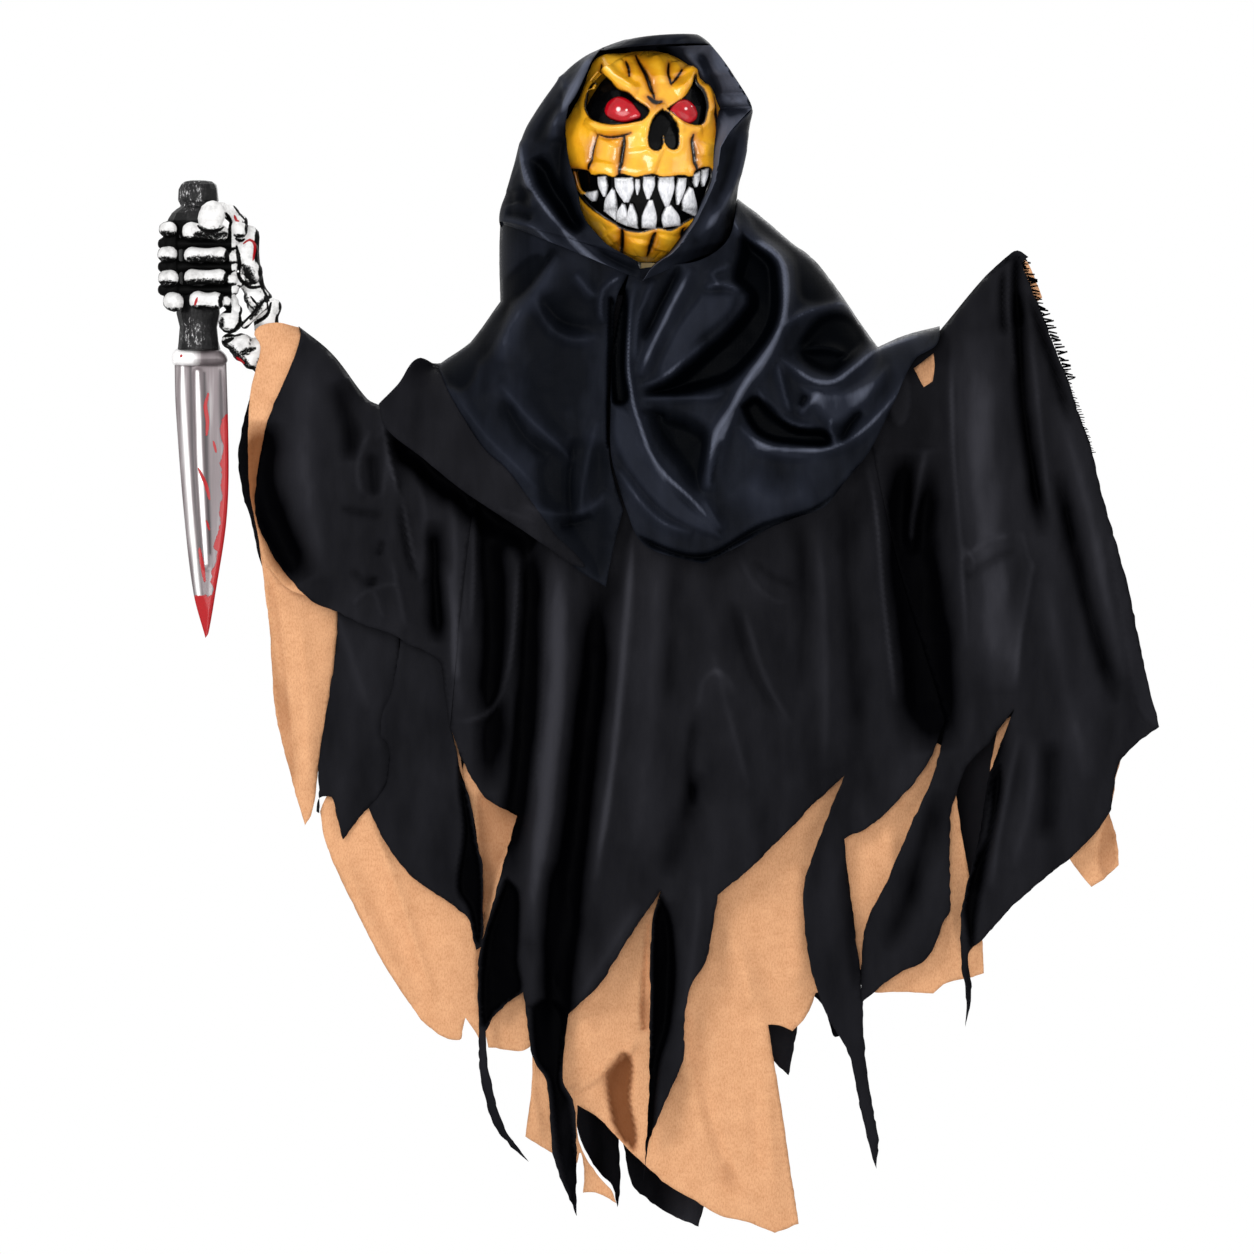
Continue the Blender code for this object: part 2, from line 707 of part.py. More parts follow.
def make_case(parts, tools, frames, metal):
    """The chest case: two halves, door, cells, contacts, board, screws and switch."""
    width, depth, height = case_size
    centre = Vector((0, 0, case_centre_z))
    plastic = finish("case_plastic", (0.02, 0.02, 0.022), 0.45)
    hollow = (width - 2 * case_wall, depth - 2 * case_wall, height - 2 * case_wall)
    corners = [(x * (width / 2 - screw_inset), z * (height / 2 - screw_inset)) for x in (-1, 1) for z in (-1, 1)]
    for side, sign in (("front", -1), ("back", 1)):
        half_depth = depth / 2 - seat_gap / 2
        middle = sign * (depth / 2 - half_depth / 2)
        shell = box("chest_case_" + side, (width, half_depth, height), centre + Vector((0, middle, 0)), parts, False)
        cut(shell, box(side + "_case_cutter", hollow, centre, tools, False))
        if side == "front":
            for number, (x, z) in enumerate(corners):
                wall = -depth / 2 + case_wall / 2
                join(shell, bar(f"boss_guide_{number}", boss_diameter, (x, wall, centre.z + z),
                                (x, -seat_gap, centre.z + z), tools, 16))
                cut(shell, bar(f"boss_bore_cutter_{number}", screw_diameter + 2 * seat_gap,
                               (x, -depth / 2 + 2 * case_wall, centre.z + z), (x, overrun, centre.z + z), tools, 16))
            for number, x in enumerate((-board_size[0] / 3, board_size[0] / 3)):
                wall = -depth / 2 + case_wall / 2
                join(shell, bar(f"board_boss_guide_{number}", boss_diameter, (x, wall, centre.z),
                                (x, -depth / 2 + boss_length, centre.z), tools, 16))
        else:
            for number, (x, z) in enumerate(corners):
                cut(shell, bar(f"screw_hole_cutter_{number}", screw_diameter + 2 * seat_gap,
                               (x, depth / 2 - 2 * case_wall, centre.z + z),
                               (x, depth / 2 + overrun, centre.z + z), tools, 16))
            bay = (door_size[0] - 2 * rail_lip, 4 * case_wall, door_size[2] - 4 * rail_lip)
            cut(shell, box("door_bay_cutter", bay, centre + Vector((0, depth / 2, 0)), tools, False))
            rail_x = door_size[0] / 2 + seat_gap + rail_width / 2
            rail_y = door_size[1] + 2 * seat_gap + rail_lip
            for rail_side in (-1, 1):
                place = centre + Vector((rail_side * rail_x, depth / 2 + rail_y / 2 - case_wall / 4, 0))
                rail = box(f"rail_guide_{rail_side}", (rail_width, rail_y + case_wall / 2, door_size[2]), place,
                           tools, False)
                lip_x = rail_x - rail_width / 2
                lip_place = centre + Vector((rail_side * lip_x, depth / 2 + rail_y - rail_lip / 2, 0))
                lip = box(f"lip_guide_{rail_side}", (rail_width, rail_lip, door_size[2] * 0.999), lip_place, tools,
                          False)
                join(shell, rail)
                join(shell, lip)
        slot = (switch_slot[0], switch_slot[1], 4 * case_wall)
        slot_y = -depth / 4
        cut(shell, box(side + "_switch_slot_cutter", slot, (0, slot_y, centre.z - height / 2), tools, False))
        flatten(shell)
        carry(dress(shell, plastic), frames["torso"])

    door_y = depth / 2 + seat_gap + door_size[1] / 2
    door = box("battery_door", door_size, centre + Vector((0, door_y, 0)), parts)
    grip = (door_size[0] * 0.4, door_size[1], door_size[2] * 0.06)
    join(door, box("grip_guide", grip, centre + Vector((0, door_y + door_size[1] * 0.6, -door_size[2] * 0.35)),
                   tools, False))
    flatten(door)
    carry(dress(door, plastic), frames["battery_door"])
    make_cells(centre, parts, tools, frames, metal)

    board_y = -depth / 2 + boss_length + seat_gap + board_size[1] / 2
    board = box("circuit_board", board_size, centre + Vector((0, board_y, 0)), parts, False)
    carry(dress(board, finish("board_green", (0.02, 0.16, 0.06), 0.5)), frames["torso"])

    head_face = depth / 2 + seat_gap
    profile = [(0, head_face + screw_head_length), (screw_head / 2, head_face + screw_head_length),
               (screw_head / 2, head_face), (screw_diameter / 2, head_face),
               (screw_diameter / 2, head_face - screw_length), (0, head_face - screw_length)]
    lay = Matrix.Rotation(-math.pi / 2, 4, "X")
    for number, (x, z) in enumerate(corners, 1):
        screw = turned(f"case_screw_{number}", profile, (x, 0, centre.z + z), parts, 16, lay)
        carry(dress(screw, metal), frames["torso"])

    knob_z = centre.z - height / 2 - switch_size[2] * 0.1
    knob = box("power_switch", switch_size, (-switch_travel / 2, slot_y, knob_z), parts)
    carry(dress(knob, finish("switch_grey", (0.2, 0.2, 0.2), 0.4)), frames["power_switch"])


def make_cells(centre, parts, tools, frames, metal):
    """Three cells in a tray, between two contact plates."""
    depth = case_size[1]
    cell_y = depth / 2 - case_wall - seat_gap - cell_diameter / 2
    tray_depth = cell_diameter / 2 + tray_base
    tray_size = (cell_length - 2 * tray_base, tray_depth, cell_pitch * cell_count)
    tray_place = centre + Vector((0, cell_y - tray_depth / 2, 0))
    tray = box("battery_tray", tray_size, tray_place, parts, False)
    plate_size = (case_size[0] - 2 * case_wall - 2 * seat_gap, tray_base, tray_size[2] * plate_share)
    plate_place = tray_place + Vector((0, (tray_base - tray_depth) / 2, 0))
    join(tray, box("tray_plate_guide", plate_size, plate_place, tools, False))
    jacket = finish("cell_jacket", (0.12, 0.12, 0.13), 0.35, 0.4)
    for number in range(cell_count):
        z = centre.z + (number - (cell_count - 1) / 2) * cell_pitch
        reach = cell_length / 2
        cut(tray, bar(f"trough_cutter_{number}", cell_diameter + 2 * seat_gap, (-reach, cell_y, z),
                      (reach, cell_y, z), tools, 24))
        sign = -1 if number % 2 else 1
        shoulder = reach - cell_nub_length
        profile = [(0, reach), (cell_nub_diameter / 2, reach), (cell_nub_diameter / 2, shoulder),
                   (cell_diameter / 2, shoulder), (cell_diameter / 2, -reach), (0, -reach)]
        lay = Matrix.Rotation(sign * math.pi / 2, 4, "Y")
        cell = turned(f"battery_cell_{number + 1}", profile, (0, cell_y, z), parts, 24, lay)
        carry(dress(cell, jacket), frames["torso"])
    flatten(tray)
    carry(dress(tray, finish("tray_plastic", (0.03, 0.03, 0.03), 0.5)), frames["torso"])
    for side, sign in (("right", -1), ("left", 1)):
        x = sign * (cell_length / 2 + seat_gap + contact_size[0] / 2)
        plate = box(f"battery_contact_{side}", contact_size, (x, cell_y, centre.z), parts, False)
        carry(dress(plate, metal), frames["torso"])


def make_head(parts, tools, frames, metal):
    """Mask, liner, teeth, lenses, lights and the back of the skull, turning on two bushings."""
    orange = finish("pumpkin_orange", (0.87, 0.42, 0.04), 0.25)
    black = finish("mask_black", (0.01, 0.01, 0.01), 0.4)
    bone = finish("tooth_white", (0.85, 0.83, 0.78), 0.35)
    red = finish("lens_red", (0.6, 0.02, 0.03), 0.15)
    head = frames["head"]
    face_turn = math.acos(2.5 * seat_gap / face_depth)
    skull_turn = math.acos(seat_gap / skull_depth)
    holes = [[face_angles(p) for p in loop] for loop in (left_socket_px, right_socket_px, nose_px, mouth_px)]
    mask = sheet("pumpkin_mask", disc(face_turn), math.radians(8), face_surface, mask_wall, parts, holes)
    hang(dress(flatten(mask), orange), head)

    liner_lift = -(mask_wall + rib_height - seat_gap / 2)
    liner = sheet("mask_liner", disc(math.radians(78), 30), math.radians(12),
                  lambda point: smooth_face(point, liner_lift), liner_wall, parts)
    flatten(liner)
    for number, place in enumerate(eye_px_places):
        centre = smooth_face(face_angles(place), liner_lift)
        cut(liner, bar(f"light_hole_cutter_{number}", led_diameter + 2 * seat_gap, centre + Vector((0, -overrun, 0)),
                       centre + Vector((0, 2 * overrun, 0)), tools))
    hang(dress(flatten(liner), black), head)

    teeth_lift = liner_lift + 3 * seat_gap + teeth_wall
    for name, outline in (("upper_teeth", upper_teeth_px), ("lower_teeth", lower_teeth_px)):
        teeth = sheet(name, [face_angles(p) for p in outline], math.radians(7),
                      lambda point: smooth_face(point, teeth_lift), teeth_wall, parts)
        hang(dress(flatten(teeth), bone, False), head)

    back = sheet("skull_back", disc(skull_turn, 24), math.radians(16), skull_surface, mask_wall, parts)
    flatten(back)
    cut(back, bar("bushing_cutter", bushing_diameter + 2 * seat_gap, (0, 0, overrun),
                  (0, 0, -face_height - overrun), tools))
    hang(dress(flatten(back), orange), head)

    rise = face_height / 2 * math.sqrt(1 - (head_setback / skull_depth) ** 2)
    for name, z in (("upper_bushing", head_centre.z + rise - bushing_length * 0.2),
                    ("lower_bushing", head_centre.z - rise + bushing_length * 0.2)):
        make_ring(name, bushing_diameter, bushing_length, z, parts, head, finish(name + "_nylon", (0.8, 0.8, 0.78), 0.5))
    collar_z = head_centre.z - rise - bushing_length * 0.3 - seat_gap - collar_length / 2
    make_ring("neck_collar", collar_diameter, collar_length, collar_z, parts, frames["torso"], metal)

    lights = []
    for number, place in enumerate(eye_px_places):
        side = ("right", "left")[number]
        angles = face_angles(place)
        centre = smooth_face(angles, liner_lift)
        seat = smooth_face(angles, liner_lift + lens_depth / 2)
        turn = Vector((0, -1, 0)).rotation_difference(seat - centre).to_matrix().to_4x4()
        shape = bmesh.new()
        size = Matrix.Diagonal((lens_width / 2, lens_depth / 2, lens_height / 2, 1))
        bmesh.ops.create_uvsphere(shape, u_segments=14, v_segments=8, radius=1,
                                  matrix=Matrix.Translation(seat) @ turn @ size)
        lens = from_bmesh(side + "_eye_lens", shape, parts)
        hang(dress(lens, red), head)
        lights.append(centre)
    board_y = max(light.y for light in lights) + led_length + led_board_size[1] / 2 + 2 * seat_gap
    for number, light in enumerate(lights):
        side = ("right", "left")[number]
        base = board_y - led_board_size[1] / 2 - seat_gap
        led = bar(side + "_eye_led", led_diameter, (light.x, base, light.z), (light.x, light.y + liner_wall * 1.3, light.z),
                  parts)
        hang(dress(led, red), head)
    middle = (lights[0] + lights[1]) / 2
    board = box("eye_led_board", led_board_size, (middle.x, board_y, middle.z), parts, False)
    hang(dress(board, finish("led_board_green", (0.02, 0.16, 0.06), 0.5)), head)

    tab_z = head_centre.z - face_height / 2 - 2 * seat_gap - chin_tab_size[2] / 2
    tab = box("chin_tab", chin_tab_size, (0, head_centre.y - chin_tab_size[1] / 2, tab_z), parts)
    hang(dress(tab, finish("tab_cream", (0.75, 0.62, 0.4), 0.5)), head)


def make_ring(name, diameter, length, z, parts, frame, material):
    """A turned ring on the rod's axis."""
    bore = rod_diameter / 2 + seat_gap
    top = length / 2
    ring = turned(name, [(diameter / 2, top), (diameter / 2, -top), (bore, -top), (bore, top)], (0, 0, z), parts)
    hang(dress(ring, material), frame)
    return ring


# Hood sections from its top to the neck, in front view pixels: height, left, right, then where its front
# edge starts and ends as angles from its back, and how far its front and back reach as shares of the face
hood_rows_share = [
    (58.6, 624, 656, -180, 180, 0.055, 0.055),
    (50.5, 618, 666, -180, 180, 0.12, 0.08),
    (38, 606, 690, -180, 180, 0.32, 0.13),
    (40, 597, 712, -180, 180, 0.50, 0.24),
    (56, 582, 728, -180, 180, 0.61, 0.32),
    (74, 566, 737, -163, 158, 0.66, 0.36),
    (100, 541, 751, -155, 130, 0.67, 0.38),
    (135, 526, 746, -152, 112, 0.67, 0.38),
    (170, 513, 741, -152, 106, 0.67, 0.38),
    (205, 502, 738, -158, 104, 0.67, 0.38),
    (235, 500, 733, -164, 120, 0.70, 0.38),
    (256, 503, 728, -170, 140, 0.72, 0.38),
]


def make_hood(parts, frames, satin):
    """The hood: sections round the head, open at the face and at the hanger's slit."""
    columns = 26
    shape = bmesh.new()
    grid = []
    head_size = face_width
    for height, left, right, start, end, front_share, back_share in hood_rows_share:
        row = []
        middle = at(((left + right) / 2, height))
        half = (right - left) / 2 * metres_per_px
        for column in range(columns + 1):
            angle = math.radians(start + (end - start) * column / columns)
            reach = (back_share + front_share) / 2 * head_size
            wave = 1 + 0.03 * math.sin(5 * angle + height)
            x = middle.x + half * math.sin(angle)
            y = (back_share - front_share) / 2 * head_size + reach * wave * math.cos(angle)
            drop = 0.11 * head_size * max(0.0, math.cos(angle)) * ridge(height - 39, 8)
            row.append(shape.verts.new((x, y, middle.z - drop)))
        grid.append(row)
    for upper, lower in zip(grid, grid[1:]):
        for k in range(columns):
            shape.faces.new((upper[k], lower[k], lower[k + 1], upper[k + 1]))
    bmesh.ops.remove_doubles(shape, verts=shape.verts, dist=5 * merge_distance)
    bmesh.ops.recalc_face_normals(shape, faces=shape.faces)
    hood = from_bmesh("hood", shape, parts)
    wall = hood.modifiers.new("Wall", "SOLIDIFY")
    wall.thickness = cape_wall
    wall.offset = 1
    hood.data.transform(Matrix.Rotation(-head_yaw, 4, "Z"))
    hang(dress(hood, satin), frames["head"])


# Crests and valleys of the robe's folds: front view pixels at their top and bottom rows, and shares of their height
body_fold_rows_px = (470, 1000, 560)
body_folds_px = [(430, 420, 0), (466, 456, 0.5), (504, 492, 0.7), (541, 538, -0.8), (573, 556, 1), (612, 616, -0.85),
                 (642, 642, 1), (682, 678, -0.5), (706, 692, 0.65), (740, 732, -0.45), (774, 776, 0.6),
                 (816, 814, -0.45), (854, 868, 0.7), (904, 925, -1), (944, 960, 0.3)]
left_fold_rows_px = (320, 800, 420)
left_folds_px = [(880, 900, 0), (930, 956, -0.4), (966, 1000, 1), (994, 1030, -0.4), (1026, 1066, 1),
                 (1050, 1110, -0.3), (1072, 1150, 0.6), (1100, 1180, 0)]
right_fold_shares = [-2.9, -2.5, -2.1, -1.75, -1.4]


def make_robe(parts, frames, taffeta, lining):
    """The robe: its body over the shoulder bar, a sleeve over each arm, and the lining behind them."""
    top = flat(body_top_px[3]).y
    hem = flat(body_px[-20]).y

    def body_fold(point):
        return fold_height * standing_folds(point, body_folds_px, body_fold_rows_px)

    def right_fold(point):
        shares = [share * pivot_x for share in right_fold_shares]
        return right_fold_height * hanging_folds(point, shares, -0.1, pivot_x * 0.16, top, hem)

    def left_fold(point):
        return fold_height * standing_folds(point, left_folds_px, left_fold_rows_px)

    def side_share(point):
        return max(0.0, min(1.0, (abs(point.x) - pivot_x) / pivot_x))

    def front_reach(point):
        return robe_front_depth + (sleeve_depth - robe_front_depth) * side_share(point)

    def back_reach(point):
        return robe_back_depth + (sleeve_depth - robe_back_depth) * side_share(point)

    shoulder_lines = [[flat(p) for p in body_top_px[:4]], [flat(p) for p in body_top_px[4:]]]
    pieces = (
        ("robe_body", body_px, shoulder_lines, shoulder_round, body_fold, robe_grid, "torso"),
        ("right_sleeve", right_px, [[flat(p) for p in right_top_px]], sleeve_round, right_fold, right_sleeve_grid,
         "right_arm"),
        ("left_sleeve", left_px, [[flat(p) for p in left_top_px]], sleeve_round, left_fold, robe_grid, "left_arm"),
    )
    for name, outline, lines, reach, fold, grid, body in pieces:
        front, back = tent(lines, front_reach, back_reach, reach, fold)
        piece = sheet(name, [flat(p) for p in outline], grid, front, robe_wall, parts, (), back, lines)
        carry(dress(piece, taffeta), frames[body])

    front_tops = [[flat(p) for p in line] for line in lining_front_top_px]
    right_tops = [[flat(p) for p in lining_right_px[-3:]]]
    left_tops = [[flat(lining_left_px[0]), flat(lining_left_px[-1])]]
    linings = (
        ("front_lining", lining_front_px, lining_front_y, body_fold, "torso", front_tops),
        ("right_sleeve_lining", lining_right_px, lining_sleeve_y, right_fold, "right_arm", right_tops),
        ("left_sleeve_lining", lining_left_px, lining_sleeve_y, left_fold, "left_arm", left_tops),
    )
    for name, outline, depth, fold, body, tops in linings:
        def place(point, depth=depth, fold=fold, tops=tops):
            rise = min(1.0, min(line_distance(point, line) for line in tops) / lining_round)
            flat_y = depth + (lining_sleeve_y - depth) * side_share(point)
            away = flat_y - fold(point) * lining_fold_height / fold_height
            return Vector((point.x, away * math.sqrt(rise), point.y))
        piece = sheet(name, [flat(p) for p in outline], lining_grid, place, lining_wall, parts, (), None, tops)
        carry(dress(piece, lining), frames[body])


cape_fold_px = [((632, 270), (646, 440)), ((632, 270), (700, 520)), ((640, 275), (480, 470)),
                ((620, 290), (590, 560)), ((785, 290), (705, 500)), ((840, 330), (740, 540)),
                ((775, 360), (900, 400)), ((560, 290), (420, 420))]


def make_cape(parts, frames, satin):
    """The cape over the shoulders, open at the neck, with folds that fan from it."""
    lines = [[flat(p) for p in cape_top_left_px], [flat(p) for p in cape_top_right_px]]
    folds = [(flat(start), flat(end)) for start, end in cape_fold_px]

    def fold(point):
        height = max(ridge(line_distance(point, [start, end]), pivot_x * 0.16) for start, end in folds)
        return cape_fold_height * (height - 0.3)

    front, back = tent(lines, lambda p: cape_front_depth, lambda p: cape_back_depth, shoulder_round, fold)
    cape = sheet("cape", [flat(p) for p in cape_px], cape_grid, front, cape_wall, parts, (), back, lines)
    carry(dress(cape, satin), frames["torso"])


def make_arms(parts, tools, frames, metal):
    """A bent tube for each arm, with the lug that turns in its clevis."""
    routes = {
        "right": (-1, [at(elbow_px), at(wrist_px, hand_y)]),
        "left": (1, [at(left_elbow_px), at(left_end_px)]),
    }
    for side, (sign, places) in routes.items():
        pivot = Vector((sign * pivot_x, 0, pivot_z))
        aim = (places[0] - pivot).normalized()
        neck_end = pivot + aim * neck_bar_length
        back_along = (places[0] - places[1]).normalized()
        route = [neck_end - aim * bevel * 3, pivot.lerp(places[0], 0.6), places[0],
                 places[1] + back_along * straight_end, places[1]]
        arm = tube(side + "_arm_frame", route, arm_diameter, parts, tools)
        neck_size = (neck_bar_length, lug_thickness * 0.85, arm_diameter * 0.8)
        neck = box(side + "_neck_guide", neck_size, (neck_bar_length / 2, 0, 0), tools, False)
        neck.data.transform(Matrix.Translation(pivot) @ Matrix.Rotation(-math.atan2(aim.z, aim.x), 4, "Y"))
        half = lug_thickness / 2
        join(arm, neck)
        join(arm, bar(side + "_lug_guide", lug_diameter, pivot + Vector((0, -half, 0)),
                      pivot + Vector((0, half, 0)), tools))
        cut(arm, bar(side + "_lug_bore_cutter", pin_diameter + 2 * seat_gap, pivot + Vector((0, -overrun * 2, 0)),
                     pivot + Vector((0, overrun * 2, 0)), tools))
        flatten(arm)
        carry(dress(arm, metal), frames[side + "_arm"])
    end = at(left_end_px)
    aim = (end - at(left_elbow_px)).normalized()
    cap = bar("left_arm_cap", cap_diameter, end - aim * cap_length * 0.6, end + aim * cap_length * 0.4, parts, 24,
              cap_diameter * 0.8)
    cut(cap, bar("cap_bore_cutter", arm_diameter + 2 * seat_gap, end - aim * cap_length, end + aim * seat_gap, tools))
    flatten(cap)
    carry(dress(cap, finish("cap_black", (0.02, 0.02, 0.02), 0.5)), frames["left_arm"])


finger_rows_px = (230, 255, 278, 302)
finger_x_px = (236, 182)


def make_hand(parts, tools, frames):
    """The skeleton fist round the knife's handle, with its wrist socket."""
    bones = []
    axis = at((handle_px[0], 0)).x
    front = hand_y - handle_diameter / 2 - hand_bone * 0.75
    side = axis - handle_diameter / 2 - hand_bone * 0.6
    for row in finger_rows_px:
        z = at((0, row)).z
        knuckle = Vector((at((finger_x_px[0], 0)).x, hand_y - hand_bone, z))
        middle = Vector((at((finger_x_px[0], 0)).x - hand_bone, front, z))
        tip_start = Vector((at((finger_x_px[1], 0)).x, front, z))
        tip = Vector((side, hand_y - handle_diameter * 0.3, z))
        curl = Vector((side, hand_y + handle_diameter * 0.2, z))
        wrist_side = Vector((at((248, 0)).x, hand_y + hand_bone, z - hand_bone))
        bones += [(wrist_side, knuckle, 1.1), (knuckle, middle, 1.15), (middle, tip_start, 0.95),
                  (tip_start, tip, 0.95), (tip, curl, 0.85)]
    wrist = at(wrist_px, hand_y)
    palm = at((248, 300), hand_y)
    heel = at((229, 320), hand_y - hand_bone)
    thumb_base = at((252, 262), hand_y - hand_bone)
    thumb_joint = at((238, 226), hand_y - hand_bone * 1.5)
    thumb_tip = at((212, 217), front)
    bones += [(palm, wrist, 1.9), (heel, palm, 1.5), (thumb_base, palm, 1.4), (thumb_base, thumb_joint, 1.3),
              (thumb_joint, thumb_tip, 1.25), (heel, wrist, 1.7), (thumb_base, at((244, 235), hand_y), 1.2)]
    shape = bmesh.new()
    for start, end, share in bones:
        along = end - start
        turn = along.to_track_quat("Z", "Y").to_matrix().to_4x4()
        size = hand_bone * share
        bmesh.ops.create_cone(shape, cap_ends=True, segments=12, radius1=size * 0.85, radius2=size * 0.85,
                              depth=along.length, matrix=Matrix.Translation((start + end) / 2) @ turn)
        for place in (start, end):
            bmesh.ops.create_icosphere(shape, subdivisions=2, radius=size, matrix=Matrix.Translation(place))
    hand = from_bmesh("skeleton_hand", shape, parts)
    skin = hand.modifiers.new("Skin", "REMESH")
    skin.mode = "VOXEL"
    skin.voxel_size = voxel
    thin = hand.modifiers.new("Thin", "DECIMATE")
    thin.ratio = 0.1
    flatten(hand)
    top = at((handle_px[0], pommel_px[0])).z + overrun
    foot = at((handle_px[0], handle_px[1])).z - overrun
    cut(hand, bar("handle_cutter", handle_diameter + 2 * seat_gap, (axis, hand_y, foot), (axis, hand_y, top), tools))
    aim = (at(elbow_px) - wrist).normalized()
    cut(hand, bar("wrist_bore_cutter", arm_diameter + 2 * seat_gap, wrist - aim * seat_gap,
                  wrist + aim * figure_height * 0.1, tools))
    flatten(hand)
    carry(dress(hand, finish("bone_white", (0.7, 0.68, 0.64), 0.6)), frames["right_hand"])


def make_knife(parts, tools, frames):
    """The toy knife: handle with pommel, guard and blade."""
    axis = at((handle_px[0], 0)).x
    top = at((0, pommel_px[0])).z
    pommel_foot = at((0, pommel_px[1])).z
    shoulder = at((0, handle_top_px)).z
    guard_top = at((0, handle_px[1])).z
    profile = [(0, top), (pommel_diameter * 0.42, top), (pommel_diameter / 2, top - overrun / 2),
               (pommel_diameter / 2, pommel_foot), (handle_diameter * 0.36, (pommel_foot + shoulder) / 2),
               (handle_diameter / 2 - seat_gap, shoulder), (handle_diameter / 2 - seat_gap, guard_top + seat_gap),
               (0, guard_top + seat_gap)]
    handle = turned("knife_handle", profile, (axis, hand_y, 0), parts, 20)
    carry(dress(handle, finish("handle_black", (0.015, 0.015, 0.015), 0.45)), frames["right_hand"])
    silver = finish("knife_silver", (0.62, 0.6, 0.6), 0.3, 0.7)
    guard = box("knife_guard", guard_size, (at((198, 0)).x, hand_y, guard_top - guard_size[2] / 2), parts)
    carry(dress(guard, silver), frames["right_hand"])
    blade_top = guard_top - guard_size[2] - seat_gap
    line = bpy.data.curves.new("blade_outline", "CURVE")
    line.dimensions = "2D"
    line.fill_mode = "BOTH"
    line.extrude = blade_thickness / 2
    spline = line.splines.new("POLY")
    spline.points.add(len(blade_px) - 1)
    spline.use_cyclic_u = True
    for place, point in zip(blade_px, spline.points):
        flat_place = flat(place)
        point.co = (flat_place.x, min(flat_place.y, blade_top), 0, 1)
    draft = bpy.data.objects.new("blade_line", line)
    tools.objects.link(draft)
    bpy.context.view_layer.update()
    mesh = bpy.data.meshes.new_from_object(draft.evaluated_get(bpy.context.evaluated_depsgraph_get()))
    bpy.data.objects.remove(draft)
    blade = new_object("knife_blade", mesh, parts)
    blade.data.transform(Matrix.Translation((0, hand_y, 0)) @ Matrix.Rotation(math.pi / 2, 4, "X"))
    flatten(blade)
    carry(dress(blade, silver), frames["right_hand"])


def main():
    """Builds the whole figure."""
    for thing in list(bpy.data.objects):
        bpy.data.objects.remove(thing)
    parts = bpy.data.collections.new("hanging_pumpkin_figure")
    tools = bpy.data.collections.new("cutters_and_guides")
    for collection in (parts, tools):
        bpy.context.scene.collection.children.link(collection)
    frames = make_frames(tools)
    metal = finish("zinc_steel", (0.5, 0.5, 0.5), 0.35, 0.9)
    taffeta = finish("robe_taffeta", (0.018, 0.018, 0.022), 0.5)
    satin = finish("cape_satin", (0.016, 0.018, 0.028), 0.35)
    lining = finish("lining_peach", (0.78, 0.42, 0.22), 0.8)
    make_hanger(parts, tools, frames, metal)
    make_case(parts, tools, frames, metal)
    make_head(parts, tools, frames, metal)
    make_hood(parts, frames, satin)
    make_robe(parts, frames, taffeta, lining)
    make_cape(parts, frames, satin)
    make_arms(parts, tools, frames, metal)
    make_hand(parts, tools, frames)
    make_knife(parts, tools, frames)


main()
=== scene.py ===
"""Looks of the hanging pumpkin figure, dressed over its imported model.

Metres, +Z up, the figure looks along -Y. Names that end in px hold front view pixels of the
photograph's frame, which places the outlines, folds and painted marks.
"""
import json
import math

import bmesh
import bpy
import numpy as np
from mathutils import Matrix, Vector
from mathutils.geometry import delaunay_2d_cdt


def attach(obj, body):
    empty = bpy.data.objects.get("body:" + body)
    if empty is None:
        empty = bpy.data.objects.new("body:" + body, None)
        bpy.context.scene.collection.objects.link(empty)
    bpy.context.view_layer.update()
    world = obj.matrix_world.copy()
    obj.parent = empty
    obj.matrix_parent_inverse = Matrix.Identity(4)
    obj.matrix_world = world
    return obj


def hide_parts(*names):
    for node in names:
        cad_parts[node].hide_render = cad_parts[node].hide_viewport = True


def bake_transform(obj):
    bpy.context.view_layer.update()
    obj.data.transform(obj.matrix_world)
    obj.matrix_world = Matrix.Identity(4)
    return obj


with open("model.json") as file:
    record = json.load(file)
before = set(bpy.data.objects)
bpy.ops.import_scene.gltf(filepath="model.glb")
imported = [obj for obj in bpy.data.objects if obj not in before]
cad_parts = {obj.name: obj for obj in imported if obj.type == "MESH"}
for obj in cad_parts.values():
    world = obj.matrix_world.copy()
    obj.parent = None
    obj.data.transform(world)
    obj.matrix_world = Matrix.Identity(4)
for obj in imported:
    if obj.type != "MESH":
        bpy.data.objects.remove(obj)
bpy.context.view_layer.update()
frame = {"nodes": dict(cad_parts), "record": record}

MM = 0.001
figure_height = 1081 * MM
figure_height_px = 1201
metres_per_px = figure_height / figure_height_px

# Column of the hanger's axis and row of its eye, where x and z are 0
axis_px = 640
eye_px = 50

# Camera
image_px = 1254
camera_distance = 8.0
focus_depth = -0.04
sensor_mm = 36

joints = {joint["name"]: joint for joint in frame["record"]["behaviour"]["joints"]}
pivot_x = joints["left_shoulder"]["pos_m"][0]

# Head, as in the model
face_width = 148 * MM
face_height = 190 * MM
face_depth = 70 * MM
head_yaw = math.radians(13)
head_centre = Vector((0, -30 * MM, -95.5 * MM))

# Cloth
cloth_step_px = 3.6
robe_front_depth = 62 * MM
robe_back_depth = 46 * MM
sleeve_depth = 30 * MM
cape_front_depth = 84 * MM
cape_back_depth = 60 * MM
shoulder_round = 75 * MM
sleeve_round = 34 * MM
robe_thickness = 0.5 * MM
lining_thickness = 0.3 * MM
lining_front_depth = 34 * MM
lining_sleeve_depth = 14 * MM
cape_step_px = 2.4
back_fold_top_px = 380
back_fold_px = 500
cape_overlap = 3 * MM

# Heights of folds over which the cloth's colour goes from painted shade in its hollows to painted highlight
# on its crests
robe_fold_light_reach = 24 * MM
hood_fold_light_reach = 22 * MM


# Points and lines

def px(*numbers):
    """Front view points from their columns and rows in turn."""
    return list(zip(numbers[::2], numbers[1::2]))


